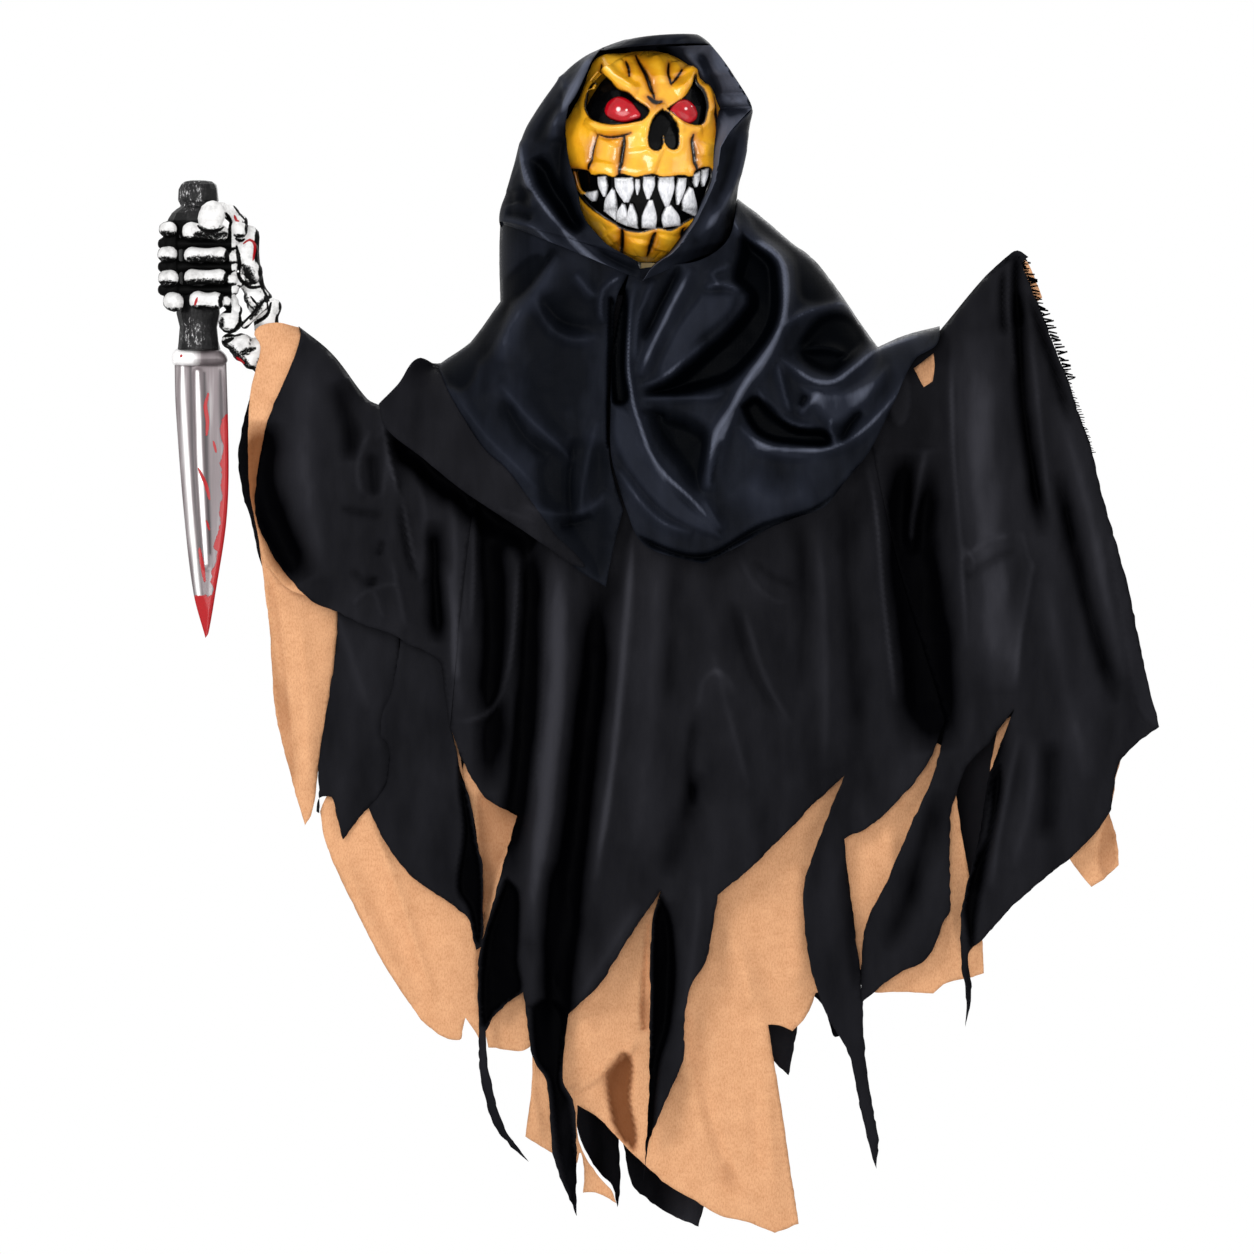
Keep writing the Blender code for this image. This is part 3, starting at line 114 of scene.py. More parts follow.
def place(points, depth):
    """World places of front view pixels at depths along Y."""
    points = np.atleast_2d(np.asarray(points, float))
    depth = np.broadcast_to(np.asarray(depth, float), (len(points),))
    return np.column_stack(((points[:, 0] - axis_px) * metres_per_px, depth,
                            (eye_px - points[:, 1]) * metres_per_px))


def curve(corners, step):
    """Evenly spaced points of a smooth line through its corners, without the last corner."""
    corners = np.asarray(corners, float)
    ends = np.vstack((2 * corners[0] - corners[1], corners, 2 * corners[-1] - corners[-2]))
    path = []
    for before, start, end, after in zip(ends, ends[1:], ends[2:], ends[3:]):
        length = np.linalg.norm(end - start)
        lead = (end - before) / max(np.linalg.norm(end - before), 1e-6) * length
        trail = (after - start) / max(np.linalg.norm(after - start), 1e-6) * length
        t = np.arange(max(1, round(length / step)))[:, None] / max(1, round(length / step))
        path.append((2 * t ** 3 - 3 * t ** 2 + 1) * start + (t ** 3 - 2 * t ** 2 + t) * lead
                    + (3 * t ** 2 - 2 * t ** 3) * end + (t ** 3 - t ** 2) * trail)
    return np.vstack(path)


def waves(points, size, seed):
    """Smooth noise from -1 to 1 on flat points, with bumps of a given size."""
    table = np.random.default_rng(seed).uniform(-1, 1, (64, 64))
    cells = np.asarray(points, float) / size
    base = np.floor(cells).astype(int)
    share = cells - base
    share = share * share * (3 - 2 * share)
    column, row = base[:, 0] % 64, base[:, 1] % 64
    right, below = (column + 1) % 64, (row + 1) % 64
    top = table[column, row] * (1 - share[:, 0]) + table[right, row] * share[:, 0]
    bottom = table[column, below] * (1 - share[:, 0]) + table[right, below] * share[:, 0]
    return top * (1 - share[:, 1]) + bottom * share[:, 1]


def outline(strokes, step=cloth_step_px, fray=0.0, seed=1, kept=()):
    """A closed outline of smooth strokes, torn except near its kept lines.

    Each stroke runs on to the first point of the next one and meets it there at a sharp corner.
    """
    loop = []
    for stroke, following in zip(strokes, [*strokes[1:], strokes[0]]):
        whole = stroke if np.array_equal(stroke[-1], following[0]) else [*stroke, following[0]]
        loop.append(curve(whole, step))
    loop = np.vstack(loop)
    torn = fray * np.ones(len(loop))
    for line in kept:
        torn = torn * np.clip(line_distance(loop, line)[0] / 12 - 0.4, 0, 1)
    shift = np.column_stack((waves(loop, step * 1.6, seed), waves(loop, step * 1.6, seed + 1)))
    return loop + torn[:, None] * shift


def inside(points, loop):
    """Which flat points lie inside a closed loop."""
    found = []
    start, end = loop, np.roll(loop, -1, axis=0)
    rise = end[:, 1] - start[:, 1]
    rise[rise == 0] = 1e-9
    for block in np.array_split(points, max(1, len(points) // 4000)):
        above = (start[:, 1] > block[:, 1:2]) != (end[:, 1] > block[:, 1:2])
        crossing = (block[:, 1:2] - start[:, 1]) / rise * (end[:, 0] - start[:, 0]) + start[:, 0]
        found.append(np.sum(above & (block[:, 0:1] < crossing), axis=1) % 2 == 1)
    return np.concatenate(found)


def line_distance(points, line):
    """How far flat points lie from a line, and where along it the nearest place is, from 0 to 1."""
    line = np.asarray(line, float)
    start, along = line[:-1], np.diff(line, axis=0)
    lengths = np.linalg.norm(along, axis=1)
    before = np.concatenate(([0], np.cumsum(lengths)))[:-1]
    far, share = [], []
    for block in np.array_split(points, max(1, len(points) // 4000)):
        offset = block[:, None, :] - start
        t = np.clip(np.sum(offset * along, axis=2) / np.maximum(lengths ** 2, 1e-12), 0, 1)
        gap = np.linalg.norm(offset - t[:, :, None] * along, axis=2)
        nearest = gap.argmin(axis=1)
        rows = np.arange(len(block))
        far.append(gap[rows, nearest])
        share.append((before[nearest] + t[rows, nearest] * lengths[nearest]) / lengths.sum())
    return np.concatenate(far), np.concatenate(share)


def closed(loop):
    """A loop with its first point repeated at its end."""
    return np.vstack((loop, loop[:1]))


def fill(loop, step=cloth_step_px, holes=()):
    """Flat points and triangles that fill a loop evenly, with holes left open."""
    low, high = loop.min(axis=0), loop.max(axis=0)
    rows = np.arange(low[1], high[1], step * 0.87)
    grid = np.array([(x, y) for k, y in enumerate(rows)
                     for x in np.arange(low[0] + k % 2 * step / 2, high[0], step)])
    grid = grid[inside(grid, loop)]
    for hole in holes:
        grid = grid[~inside(grid, hole)]
    for line in (loop, *holes):
        grid = grid[line_distance(grid, closed(line))[0] > step * 0.6]
    points, edges = [], []
    for line in (loop, *holes):
        first = len(points)
        points += [Vector(point) for point in line]
        edges += [(first + k, first + (k + 1) % len(line)) for k in range(len(line))]
    points += [Vector(point) for point in grid]
    found, _, faces, *_ = delaunay_2d_cdt(points, edges, [], 1, step * 1e-4, False)
    flat = np.array([tuple(point) for point in found])
    faces = np.array([tuple(face) for face in faces])
    middle = flat[faces].mean(axis=1)
    keep = inside(middle, loop)
    for hole in holes:
        keep &= ~inside(middle, hole)
    return flat, faces[keep]


# Objects

def linked(name, data):
    """A new object in the scene that holds a mesh, a lamp or a camera."""
    item = bpy.data.objects.new(name, data)
    bpy.context.scene.collection.objects.link(item)
    return item


def new_piece(name, verts, faces, material, smooth=True):
    """A mesh piece in the scene, with its material."""
    mesh = bpy.data.meshes.new(name)
    mesh.from_pydata([tuple(map(float, vert)) for vert in verts], [],
                     [tuple(map(int, face)) for face in faces])
    mesh.materials.append(material)
    piece = linked(name, mesh)
    if smooth:
        mesh.shade_smooth()
    return piece


def evaluated(draft):
    """The mesh that a draft object's modifiers make of it. The draft goes."""
    bpy.context.view_layer.update()
    mesh = bpy.data.meshes.new_from_object(draft.evaluated_get(bpy.context.evaluated_depsgraph_get()))
    bpy.data.objects.remove(draft)
    return mesh


def read_vectors(mesh, field):
    """One vector for each point of a mesh, such as its place or its normal."""
    values = np.empty(len(mesh.vertices) * 3)
    mesh.vertices.foreach_get(field, values)
    return values.reshape(-1, 3)


def paint(piece, name, values):
    """Stores one number for each point of a piece, for its material."""
    kind = "FLOAT" if np.ndim(values) == 1 else "FLOAT_VECTOR"
    layer = piece.data.attributes.new(name, kind, "POINT")
    field = "value" if kind == "FLOAT" else "vector"
    layer.data.foreach_set(field, np.asarray(values, np.float32).ravel())


def merged(piece, distance=0.02 * MM):
    """Joins a piece's doubled points and turns its faces outwards."""
    shape = bmesh.new()
    shape.from_mesh(piece.data)
    bmesh.ops.remove_doubles(shape, verts=shape.verts, dist=distance)
    bmesh.ops.recalc_face_normals(shape, faces=shape.faces)
    shape.to_mesh(piece.data)
    shape.free()


def wall(piece, thickness, offset=0.0):
    """Gives a sheet its thickness."""
    solid = piece.modifiers.new("Wall", "SOLIDIFY")
    solid.thickness = thickness
    solid.offset = offset
    return piece


def sheet_piece(name, loop, material, surface, thickness, step=cloth_step_px):
    """A cloth piece over a loop, with its place in the cut cloth and how far its folds stand out, which sets
    its painted fold shade and highlight.
    """
    flat, faces = fill(loop, step)
    depth, height = surface(flat)
    piece = new_piece(name, place(flat, depth), faces, material)
    paint(piece, "cut", place(flat, 0))
    # Painted shade in the hollows and painted highlight on the crests, from the fold height
    paint(piece, "fold_light_and_shade", np.clip(0.5 + height / robe_fold_light_reach, 0, 1))
    if depth.mean() < 0:
        piece.data.flip_normals()
    return wall(piece, thickness)


# Depth of the cloth

robe_top_px = [
    px(297, 325, 330, 352, 366, 398, 380, 405, 399, 385, 418, 359, 440, 362, 470, 341, 492, 315, 505, 304,
        530, 296, 588, 296),
    px(692, 296, 740, 296, 800, 297, 834, 302, 868, 343, 905, 347, 932, 339, 946, 324, 986, 276, 1019, 250),
]


def ridge(distance, width):
    """A smooth hump, 1 at zero and near 0 past its width."""
    return np.exp(-(distance / width) ** 2)


def rounded(distance, reach):
    """A quarter-round rise from 0 at an edge to 1 past its reach."""
    share = np.clip(distance / reach, 0, 1)
    return np.sqrt(1 - (1 - share) ** 2)


def top_rise(points, lines, reach):
    """The quarter-round rise of cloth under the lines that it hangs over."""
    nearest = np.min([line_distance(points, line)[0] for line in lines], axis=0)
    return rounded(nearest * metres_per_px, reach)


def side_share(points):
    """0 over the shoulder bar, 1 out on the sleeves."""
    return np.clip((np.abs(points[:, 0] - axis_px) * metres_per_px - pivot_x) / pivot_x, 0, 1)


def folds(points, table):
    """Height of folds from rows of a line, its width and height in pixels, and how sharp its crest is.

    Each fold fades out over the first and last sixth of its line.
    """
    height = np.zeros(len(points))
    for line, width, tall, sharp in table:
        smooth = curve(line, 8) if len(line) > 2 else np.asarray(line, float)
        distance, along = line_distance(points, smooth)
        ends = np.clip(np.minimum(along, 1 - along) * 6, 0, 1) ** 0.7
        height += tall * ends * np.exp(-(distance / width) ** sharp)
    return height * metres_per_px


def patches(points, table):
    """Height of raised or sunken patches from rows of an outline, its height and the width of its slope."""
    height = np.zeros(len(points))
    for corners, tall, slope in table:
        loop = curve(corners + corners[:1], 6)
        share = np.clip(line_distance(points, closed(loop))[0] / slope, 0, 1)
        height += np.where(inside(points, loop), tall * share * share * (3 - 2 * share), 0)
    return height * metres_per_px


# Folds of the robe. Each row is a line, its width and height in pixels, and how sharp its crest is.
# Rows of patches are an outline, its height in pixels and the width of its slope.
body_folds = [
    (px(452, 480, 456, 600, 458, 722), 8, 8, 1.8),
    (px(484, 500, 494, 600, 492, 720, 487, 800), 15, -15, 2.4),
    (px(474, 470, 474, 560, 470, 640), 4, 8, 1.5),
    (px(519, 556, 513, 640, 507, 674, 496, 704, 478, 718, 446, 722), 4, 10, 1.3),
    (px(531, 520, 530, 640, 521, 770, 500, 890), 13, -15, 2.4),
    (px(561, 545, 556, 700, 543, 830, 526, 950), 12, 15, 2.6),
    (px(548, 560, 543, 700, 531, 820), 2.5, 5, 1.4),
    (px(600, 570, 591, 700, 577, 830, 562, 960, 552, 1080), 15, -19, 2.6),
    (px(634, 525, 624, 650, 612, 770, 594, 890), 7, 15, 1.5),
    (px(656, 540, 650, 700, 636, 860), 13, 6, 2.0), (px(700, 770, 680, 830, 664, 885), 9, -7, 1.6),
    (px(676, 560, 672, 640, 668, 720), 6, -4, 1.6), (px(695, 715, 714, 671, 742, 704), 6, 6, 1.5),
    (px(712, 650, 730, 720, 752, 800), 6, 6, 1.5), (px(694, 718, 690, 770, 696, 814), 4, -6, 1.4),
    (px(744, 610, 766, 680, 798, 735), 5, 6, 1.4), (px(732, 600, 752, 668, 784, 726), 5, -5, 1.5),
    (px(735, 548, 747, 572, 760, 590, 780, 602, 800, 596), 3, 4, 1.2),
    (px(752, 560, 776, 578, 806, 588), 3, -4, 1.2), (px(818, 520, 826, 640, 826, 780), 7, 6, 1.6),
    (px(800, 520, 806, 600, 800, 700), 8, -5, 1.6), (px(846, 490, 850, 600, 862, 760), 9, -6, 1.7),
    (px(866, 461, 876, 512, 884, 600, 897, 712), 4, 11, 1.3),
    (px(640, 900, 610, 950, 572, 1010), 8, 6, 1.8), (px(552, 860, 548, 940, 552, 1010), 8, -8, 1.6),
    (px(670, 900, 668, 980, 664, 1060), 9, -6, 1.7), (px(700, 880, 694, 950, 680, 1030), 7, 6, 1.5),
    (px(850, 860, 852, 920, 860, 1000), 7, -6, 1.6),
]
right_folds = [
    (px(418, 362, 440, 410, 490, 452, 560, 520), 20, 9, 2.0),
    (px(384, 430, 425, 464, 470, 500, 545, 548), 16, -24, 2.2),
    (px(378, 410, 386, 440, 393, 474, 401, 500, 414, 560, 424, 590), 3.5, 12, 1.2),
    (px(398, 478, 406, 540, 420, 590), 3.5, -10, 1.4),
    (px(396, 462, 414, 474, 424, 500, 425, 540, 424, 588), 7, 8, 1.6),
    (px(336, 380, 350, 430, 352, 470), 9, -9, 1.8),
    (px(310, 350, 304, 420, 310, 500, 318, 590), 15, 9, 2.2),
    (px(262, 420, 258, 480, 276, 530, 304, 590), 19, -20, 2.4),
    (px(372, 430, 360, 452, 358, 480, 368, 505), 5, 8, 1.5), (px(384, 436, 386, 470, 380, 506), 4, 6, 1.4),
    (px(372, 452, 374, 480, 376, 504), 5, -7, 1.6), (px(340, 508, 366, 513, 391, 516), 3, -5, 1.2),
    (px(372, 587, 350, 570, 344, 560), 3, -4, 1.2), (px(372, 587, 398, 584), 3, 5, 1.2),
    (px(372, 587, 356, 600, 352, 612), 3, 5, 1.2), (px(372, 587, 374, 576), 3, -6, 1.2),
    (px(372, 587, 384, 620), 3, 4, 1.2), (px(383, 540, 378, 556), 2.5, -6, 1.2),
    (px(392, 560, 400, 600, 408, 640), 4, 5, 1.5), (px(444, 560, 452, 620, 456, 690), 7, 8, 1.6),
    (px(432, 520, 436, 590, 440, 650), 9, -14, 2.0), (px(330, 600, 352, 660, 372, 720), 8, 5, 1.8),
]
left_folds = [
    (px(912, 452, 914, 560, 930, 690, 936, 760), 26, -22, 3.0),
    (px(926, 446, 918, 490, 912, 536, 916, 562), 7, 15, 1.7),
    (px(952, 340, 952, 430, 960, 540, 968, 660), 4.5, 9, 1.5),
    (px(978, 330, 984, 470, 996, 600, 1004, 700), 20, 11, 2.6),
    (px(1018, 290, 1024, 400, 1034, 470, 1046, 545), 7, -13, 1.8),
    (px(1010, 262, 1008, 300, 1012, 340, 1018, 390), 3, 5, 1.4),
    (px(1017, 250, 1017, 290, 1021, 334), 4.5, -13, 1.6), (px(1004, 268, 1003, 310, 1006, 344), 3, -9, 1.4),
    (px(1030, 292, 1040, 325, 1056, 372, 1072, 430), 4, -9, 1.5),
    (px(1030, 330, 1040, 420, 1050, 520), 5, 7, 1.4),
    (px(1058, 470, 1078, 560, 1098, 640, 1120, 712), 7, -11, 1.7),
    (px(1060, 400, 1086, 500, 1108, 600, 1128, 690), 10, 8, 2.0),
    (px(960, 560, 990, 540, 1024, 534), 4, 5, 1.3), (px(966, 578, 994, 560, 1026, 548), 4, -5, 1.3),
    (px(962, 545, 974, 562, 970, 582), 3, 5, 1.2), (px(1022, 530, 1030, 560, 1040, 580), 3, 5, 1.2),
    (px(1034, 560, 1020, 640, 1014, 700), 5, 7, 1.5), (px(1046, 580, 1070, 700, 1090, 790), 12, 6, 1.9),
    (px(940, 790, 916, 880, 886, 960), 9, -8, 1.7), (px(1006, 720, 984, 820, 972, 900), 6, -9, 1.6),
    (px(1020, 730, 1000, 830, 990, 900), 6, 8, 1.6), (px(1036, 735, 1030, 800, 1010, 880), 8, 6, 1.6),
    (px(1052, 740, 1050, 800, 1044, 850), 9, -7, 1.7),
]
robe_patches = [
    (px(505, 872, 522, 892, 521, 960, 524, 992, 500, 1012, 484, 1032, 477, 990, 482, 940, 493, 905), -16,
      7),
    (px(528, 1004, 548, 996, 568, 1018, 563, 1080, 573, 1101, 577, 1210, 556, 1156, 547, 1080, 534, 1060),
      -10, 6),
    (px(650, 916, 662, 890, 678, 956, 674, 1020, 664, 1060, 646, 1160, 649, 1010), -14, 8),
    (px(460, 740, 474, 820, 483, 870, 483, 942, 476, 952, 467, 912, 455, 890, 461, 830, 456, 780), -13, 6),
    (px(968, 950, 962, 900, 984, 838, 1000, 760, 1006, 790, 992, 860, 980, 920, 970, 1000), -12, 7),
    (px(1108, 545, 1117, 598, 1128, 660, 1140, 713, 1162, 728, 1144, 654, 1130, 588, 1113, 528), 3.5, 2.5),
    (px(880, 372, 906, 372, 912, 410, 898, 428, 884, 402), 6, 4),
]


def robe_depth(points, depth):
    """Depth of the robe under its top line, and how far it is round it."""
    share = side_share(points)
    reach = shoulder_round + (sleeve_round - shoulder_round) * share
    return depth + (sleeve_depth - depth) * share, top_rise(points, robe_top_px, reach)


def robe_front(points):
    """Depth and fold height of the robe's whole front, from the right cuff to the left."""
    depth, rise = robe_depth(points, robe_front_depth)
    height = folds(points, body_folds + right_folds + left_folds) + patches(points, robe_patches)
    height += 1.6 * MM * waves(points * (1, 0.35), 17, 5) + 0.5 * MM * waves(points * (1, 0.5), 7, 6)
    return -(depth + height) * rise, height


def robe_back(points):
    """Depth and fold height of the robe's back, with folds that fan downwards."""
    depth, rise = robe_depth(points, robe_back_depth)
    fall = np.clip((points[:, 1] - back_fold_top_px) / back_fold_px, 0, 1)
    across = (points[:, 0] - axis_px) / (1 + 0.25 * fall)
    height = (3 + 5 * fall) * MM * np.sin(across / 15 + 1.5 * waves(points * (1, 0.2), 60, 8))
    height += 1.6 * MM * waves(points * (1, 0.35), 19, 9)
    return (depth + height) * rise, height


def behind(surface, gap):
    """A surface that lies a gap behind another."""
    def moved(points):
        """Depth and fold height of the moved surface."""
        depth, height = surface(points)
        return depth + gap, height
    return moved


right_seam_px = px(492, 315, 484, 420, 466, 560, 450, 727)
left_seam_px = px(947, 721, 898, 560, 857, 380, 834, 302)
right_tuck_px = px(482, 334, 473, 420, 455, 560, 450, 727)
left_tuck_px = px(947, 721, 909, 560, 869, 380, 848, 322)

# Edges that two or more sheets share, each a list of strokes
collar_px = [
    px(492, 315, 505, 304, 530, 296, 588, 296), px(588, 296, 692, 296),
    px(692, 296, 740, 296, 800, 297, 834, 302, 848, 322),
]
right_dip_px = [
    px(380, 405, 399, 385, 418, 359), px(418, 359, 440, 362, 470, 341, 492, 315),
]
left_peak_px = [
    px(834, 302, 868, 343, 905, 347, 932, 339, 946, 324),
    px(946, 324, 986, 276, 1010, 254, 1019, 249, 1029, 256),
]

# Outlines of the robe's sheets
body_front_px = [
    *collar_px, left_tuck_px[::-1], px(947, 721, 939, 739, 926, 767, 900, 799, 872, 825),
    px(844, 839, 856, 936, 862, 990, 866, 1059, 875, 1119, 879, 1141),
    px(876, 1169, 866, 1134, 859, 1101, 849, 1055),
    px(830, 1022, 817, 990, 808, 952, 803, 904, 806, 876, 836, 796),
    px(845, 776, 820, 798, 795, 823, 752, 866),
    px(718, 894, 713, 923, 706, 959, 690, 987, 684, 1023, 683, 1059, 666, 1098, 649, 1141),
    px(643, 1180, 645, 1159, 649, 1091, 650, 1001, 651, 940, 654, 912),
    px(662, 889, 653, 902, 641, 919, 620, 951, 599, 984), px(568, 1014, 563, 1080, 574, 1101),
    px(577, 1214, 554, 1155, 547, 1080, 534, 1059, 527, 1018), px(524, 991, 516, 996, 495, 1014),
    px(486, 1031, 487, 1059, 492, 1084, 498, 1109, 507, 1131),
    px(529, 1160, 509, 1143, 494, 1125, 486, 1099, 480, 1071, 479, 1030, 479, 960, 494, 900, 505, 858),
    px(518, 816, 501, 807, 485, 797, 465, 765), right_tuck_px[::-1], px(482, 334),
]
right_sleeve_front_px = [
    right_seam_px, px(450, 727, 444, 690, 440, 662),
    px(421, 649, 407, 644, 395, 636, 377, 629, 361, 624, 336, 611, 315, 603),
    px(299, 590, 278, 564, 264, 539, 256, 520, 254, 495, 260, 449, 271, 410, 292, 362, 300, 332),
    px(297, 325, 330, 352, 366, 398), *right_dip_px,
]
side_panel_px = [
    px(450, 700), px(450, 727, 456, 750, 460, 771, 470, 800, 477, 844, 483, 869), px(482, 905, 482, 945),
    px(476, 950, 472, 934, 469, 920, 460, 911, 443, 899, 418, 883, 395, 858, 377, 828),
    px(368, 808, 382, 792, 388, 772, 388, 747), px(380, 736, 381, 716, 392, 688), px(400, 640, 430, 640),
]
inner_panel_px = [
    px(400, 620, 396, 690, 392, 760, 381, 796, 366, 810), px(342, 840, 336, 815, 331, 797),
    px(322, 797, 317, 800, 316, 812), px(319, 814, 318, 790, 318, 759, 324, 718, 331, 679, 337, 631),
    px(336, 600),
]
left_front_px = [
    left_seam_px, *left_peak_px,
    px(1029, 256, 1023, 262, 1027, 276, 1033, 291, 1040, 307, 1046, 323, 1051, 336, 1059, 357),
    px(1069, 381, 1080, 416, 1092, 449, 1099, 482, 1112, 528, 1129, 588, 1142, 654),
    px(1160, 727, 1138, 743, 1120, 764, 1114, 790),
    px(1112, 809, 1095, 834, 1072, 857, 1041, 882, 1012, 908), px(983, 940, 969, 955, 972, 990),
    px(966, 1027, 966, 990, 962, 968, 961, 920, 967, 888, 980, 837, 990, 777, 1005, 734),
    px(1015, 708, 990, 742, 967, 767, 958, 790, 951, 815),
    px(951, 911, 945, 920, 927, 959, 900, 973, 884, 984),
    px(862, 1003, 862, 960, 866, 925, 888, 879, 913, 821, 932, 780),
]
right_back_px = [
    px(492, 315, 480, 420, 462, 560), px(450, 720, 470, 860),
    px(482, 1000, 470, 940, 440, 899, 411, 874, 392, 851, 366, 810),
    px(342, 838, 330, 760, 318, 690, 290, 620),
    px(262, 575, 255, 553, 247, 518, 239, 490, 235, 458, 240, 419, 252, 380, 276, 345),
    px(300, 330, 330, 352, 366, 398), *right_dip_px,
]
body_back_px = [
    *collar_px, left_tuck_px[::-1], px(947, 721, 930, 850, 890, 930),
    px(862, 990, 840, 1040, 826, 1010, 810, 1000), px(790, 1080, 760, 1060, 735, 1120, 716, 1180),
    px(699, 1233, 680, 1226, 656, 1211, 640, 1199, 633, 1190, 627, 1172, 624, 1150),
    px(618, 1136, 620, 1165, 620, 1200),
    px(617, 1213, 612, 1192, 600, 1178, 589, 1163, 578, 1138, 574, 1100), px(560, 1070, 545, 1040),
    px(520, 1020, 500, 1010), px(486, 1000, 470, 860), right_tuck_px[::-1], px(482, 334),
]
left_back_px = [
    left_seam_px, *left_peak_px,
    px(1029, 256, 1022, 263, 1038, 306, 1050, 338, 1067, 380, 1090, 449, 1110, 528, 1127, 588, 1141, 654),
    px(1156, 722, 1120, 760, 1100, 820), px(1060, 850, 1010, 880, 980, 900),
    px(970, 950, 955, 870, 930, 940, 890, 960), px(866, 940, 900, 830),
]

# Folds of the cape, and its raised and sunken patches
cape_right_folds = [
    (px(558, 256, 540, 290, 508, 330, 500, 372), 9, 8, 1.6),
    (px(500, 384, 530, 420, 560, 448, 578, 470), 5, 7, 1.3), (px(503, 400, 524, 436, 552, 462), 7, -5, 1.5),
    (px(532, 296, 548, 326, 568, 340, 592, 340, 606, 330), 5, 5, 1.4),
    (px(538, 290, 556, 318, 578, 328, 600, 322), 7, -4, 1.6), (px(575, 275, 592, 296, 603, 302), 4, 8, 1.3),
    (px(624, 276, 604, 292, 601, 316, 607, 334), 3, 9, 1.2),
    (px(598, 420, 588, 460, 582, 500, 584, 530), 5, 5, 1.4), (px(575, 440, 570, 480, 572, 535), 4, -5, 1.4),
    (px(520, 506, 560, 515, 592, 508, 612, 486), 6, 6, 1.4), (px(560, 528, 580, 522, 600, 512), 5, -4, 1.4),
    (px(450, 385, 486, 436, 520, 470, 546, 500), 5, 5, 1.3), (px(500, 510, 530, 520, 545, 526), 3, 4, 1.2),
    (px(512, 296, 500, 330, 476, 372), 5, -7, 1.5), (px(556, 250, 530, 286, 506, 308), 3.5, -9, 1.4),
]
cape_right_patches = [
    (px(608, 296, 616, 300, 616, 400, 611, 452, 606, 440, 607, 340), -10, 3),
    (px(436, 366, 470, 341, 500, 300, 503, 276, 545, 256, 520, 300, 490, 350, 470, 392, 448, 391), -6, 8),
    (px(530, 290, 596, 290, 606, 380, 600, 450, 560, 450, 520, 400, 504, 350), -3, 22),
    (px(540, 440, 606, 440, 614, 500, 604, 580, 570, 552, 528, 486), -5, 18),
]
cape_left_folds = [
    (px(636, 284, 630, 316, 628, 366, 633, 404, 641, 430, 650, 454, 665, 476, 691, 500, 724, 538), 3.5, 13,
      1.3),
    (px(653, 282, 646, 300, 638, 320, 634, 372), 3, 7, 1.2),
    (px(691, 270, 669, 313, 648, 357, 637, 386), 5, 13, 1.3),
    (px(680, 268, 658, 312, 640, 350), 4, -9, 1.4), (px(638, 389, 664, 378, 690, 356, 712, 336), 3, 7, 1.3),
    (px(640, 401, 676, 399, 716, 398, 734, 390), 3, 7, 1.2),
    (px(640, 412, 660, 416, 672, 422), 2.5, -5, 1.2),
    (px(723, 213, 749, 239, 774, 254, 783, 268, 785, 295, 781, 324, 766, 356, 746, 384, 731, 410, 713, 443,
      703, 499), 5, 19, 1.3),
    (px(733, 412, 722, 440, 712, 470, 706, 500), 4, 8, 1.3), (px(722, 440, 714, 468, 710, 494), 3, -8, 1.3),
    (px(782, 328, 797, 318, 825, 307, 848, 305, 872, 338), 4, 11, 1.3),
    (px(790, 355, 812, 349, 832, 350, 854, 360), 5, 9, 1.6),
    (px(777, 358, 792, 369, 812, 382, 833, 383, 853, 369, 879, 349, 938, 330), 4, 13, 1.3),
    (px(776, 364, 784, 398, 792, 422), 3, 9, 1.2), (px(820, 394, 804, 410, 793, 423), 4, 8, 1.3),
    (px(806, 396, 800, 408, 795, 418), 3, -7, 1.3), (px(756, 388, 768, 410, 790, 424, 822, 430), 3, 8, 1.2),
    (px(737, 425, 749, 438, 766, 448, 800, 451, 834, 448, 869, 425, 912, 374), 4, 12, 1.3),
    (px(748, 446, 780, 456, 816, 458), 4, 5, 1.4), (px(834, 447, 829, 428, 830, 410), 3, 8, 1.2),
    (px(840, 444, 850, 424, 866, 406), 4, -9, 1.4), (px(703, 500, 712, 516, 727, 539), 3, 6, 1.2),
    (px(744, 478, 770, 500, 820, 486), 16, 5, 1.8), (px(740, 240, 732, 212), 3, 6, 1.3),
    (px(719, 288, 712, 276, 724, 270, 736, 262), 3, 7, 1.2),
    (px(704, 290, 722, 286, 740, 294, 741, 302), 3, 9, 1.2),
    (px(618, 470, 640, 502, 664, 524, 700, 536), 4, 8, 1.4),
]
cape_left_patches = [
    (px(732, 216, 773, 250, 783, 268, 784, 321, 764, 358, 723, 391, 644, 398, 676, 370, 742, 304, 728, 284,
      734, 250), -26, 17),
    (px(610, 290, 628, 290, 628, 372, 630, 404, 611, 404), -20, 6),
    (px(700, 292, 738, 300, 700, 345, 660, 382, 668, 340), 5, 8),
    (px(656, 402, 716, 432, 704, 497, 684, 488, 652, 444, 642, 416), -11, 20),
    (px(736, 406, 755, 438, 793, 449, 832, 448, 828, 430, 793, 424, 757, 395), -22, 9),
    (px(786, 354, 816, 314, 852, 310, 872, 342, 848, 371, 832, 381, 809, 374), -21, 15),
    (px(612, 405, 630, 410, 645, 446, 683, 498, 724, 538, 700, 534, 664, 515, 628, 474, 612, 440), 5, 6),
    (px(632, 532, 700, 552, 760, 522, 823, 500, 872, 440, 926, 342, 940, 332, 914, 360, 868, 452, 823, 507,
      741, 545, 703, 564, 650, 549), -10, 5),
    (px(792, 384, 850, 384, 890, 366, 852, 424, 826, 430), 9, 14),
    (px(738, 200, 792, 241, 840, 300, 800, 306, 788, 262, 752, 232), -7, 9),
]
cape_tops_px = [
    px(500, 214, 499, 260, 500, 300, 470, 341, 440, 362, 437, 366),
    px(738, 197, 764, 217, 792, 241, 812, 256, 830, 277, 848, 302, 868, 332, 879, 346, 907, 334, 941, 325),
]
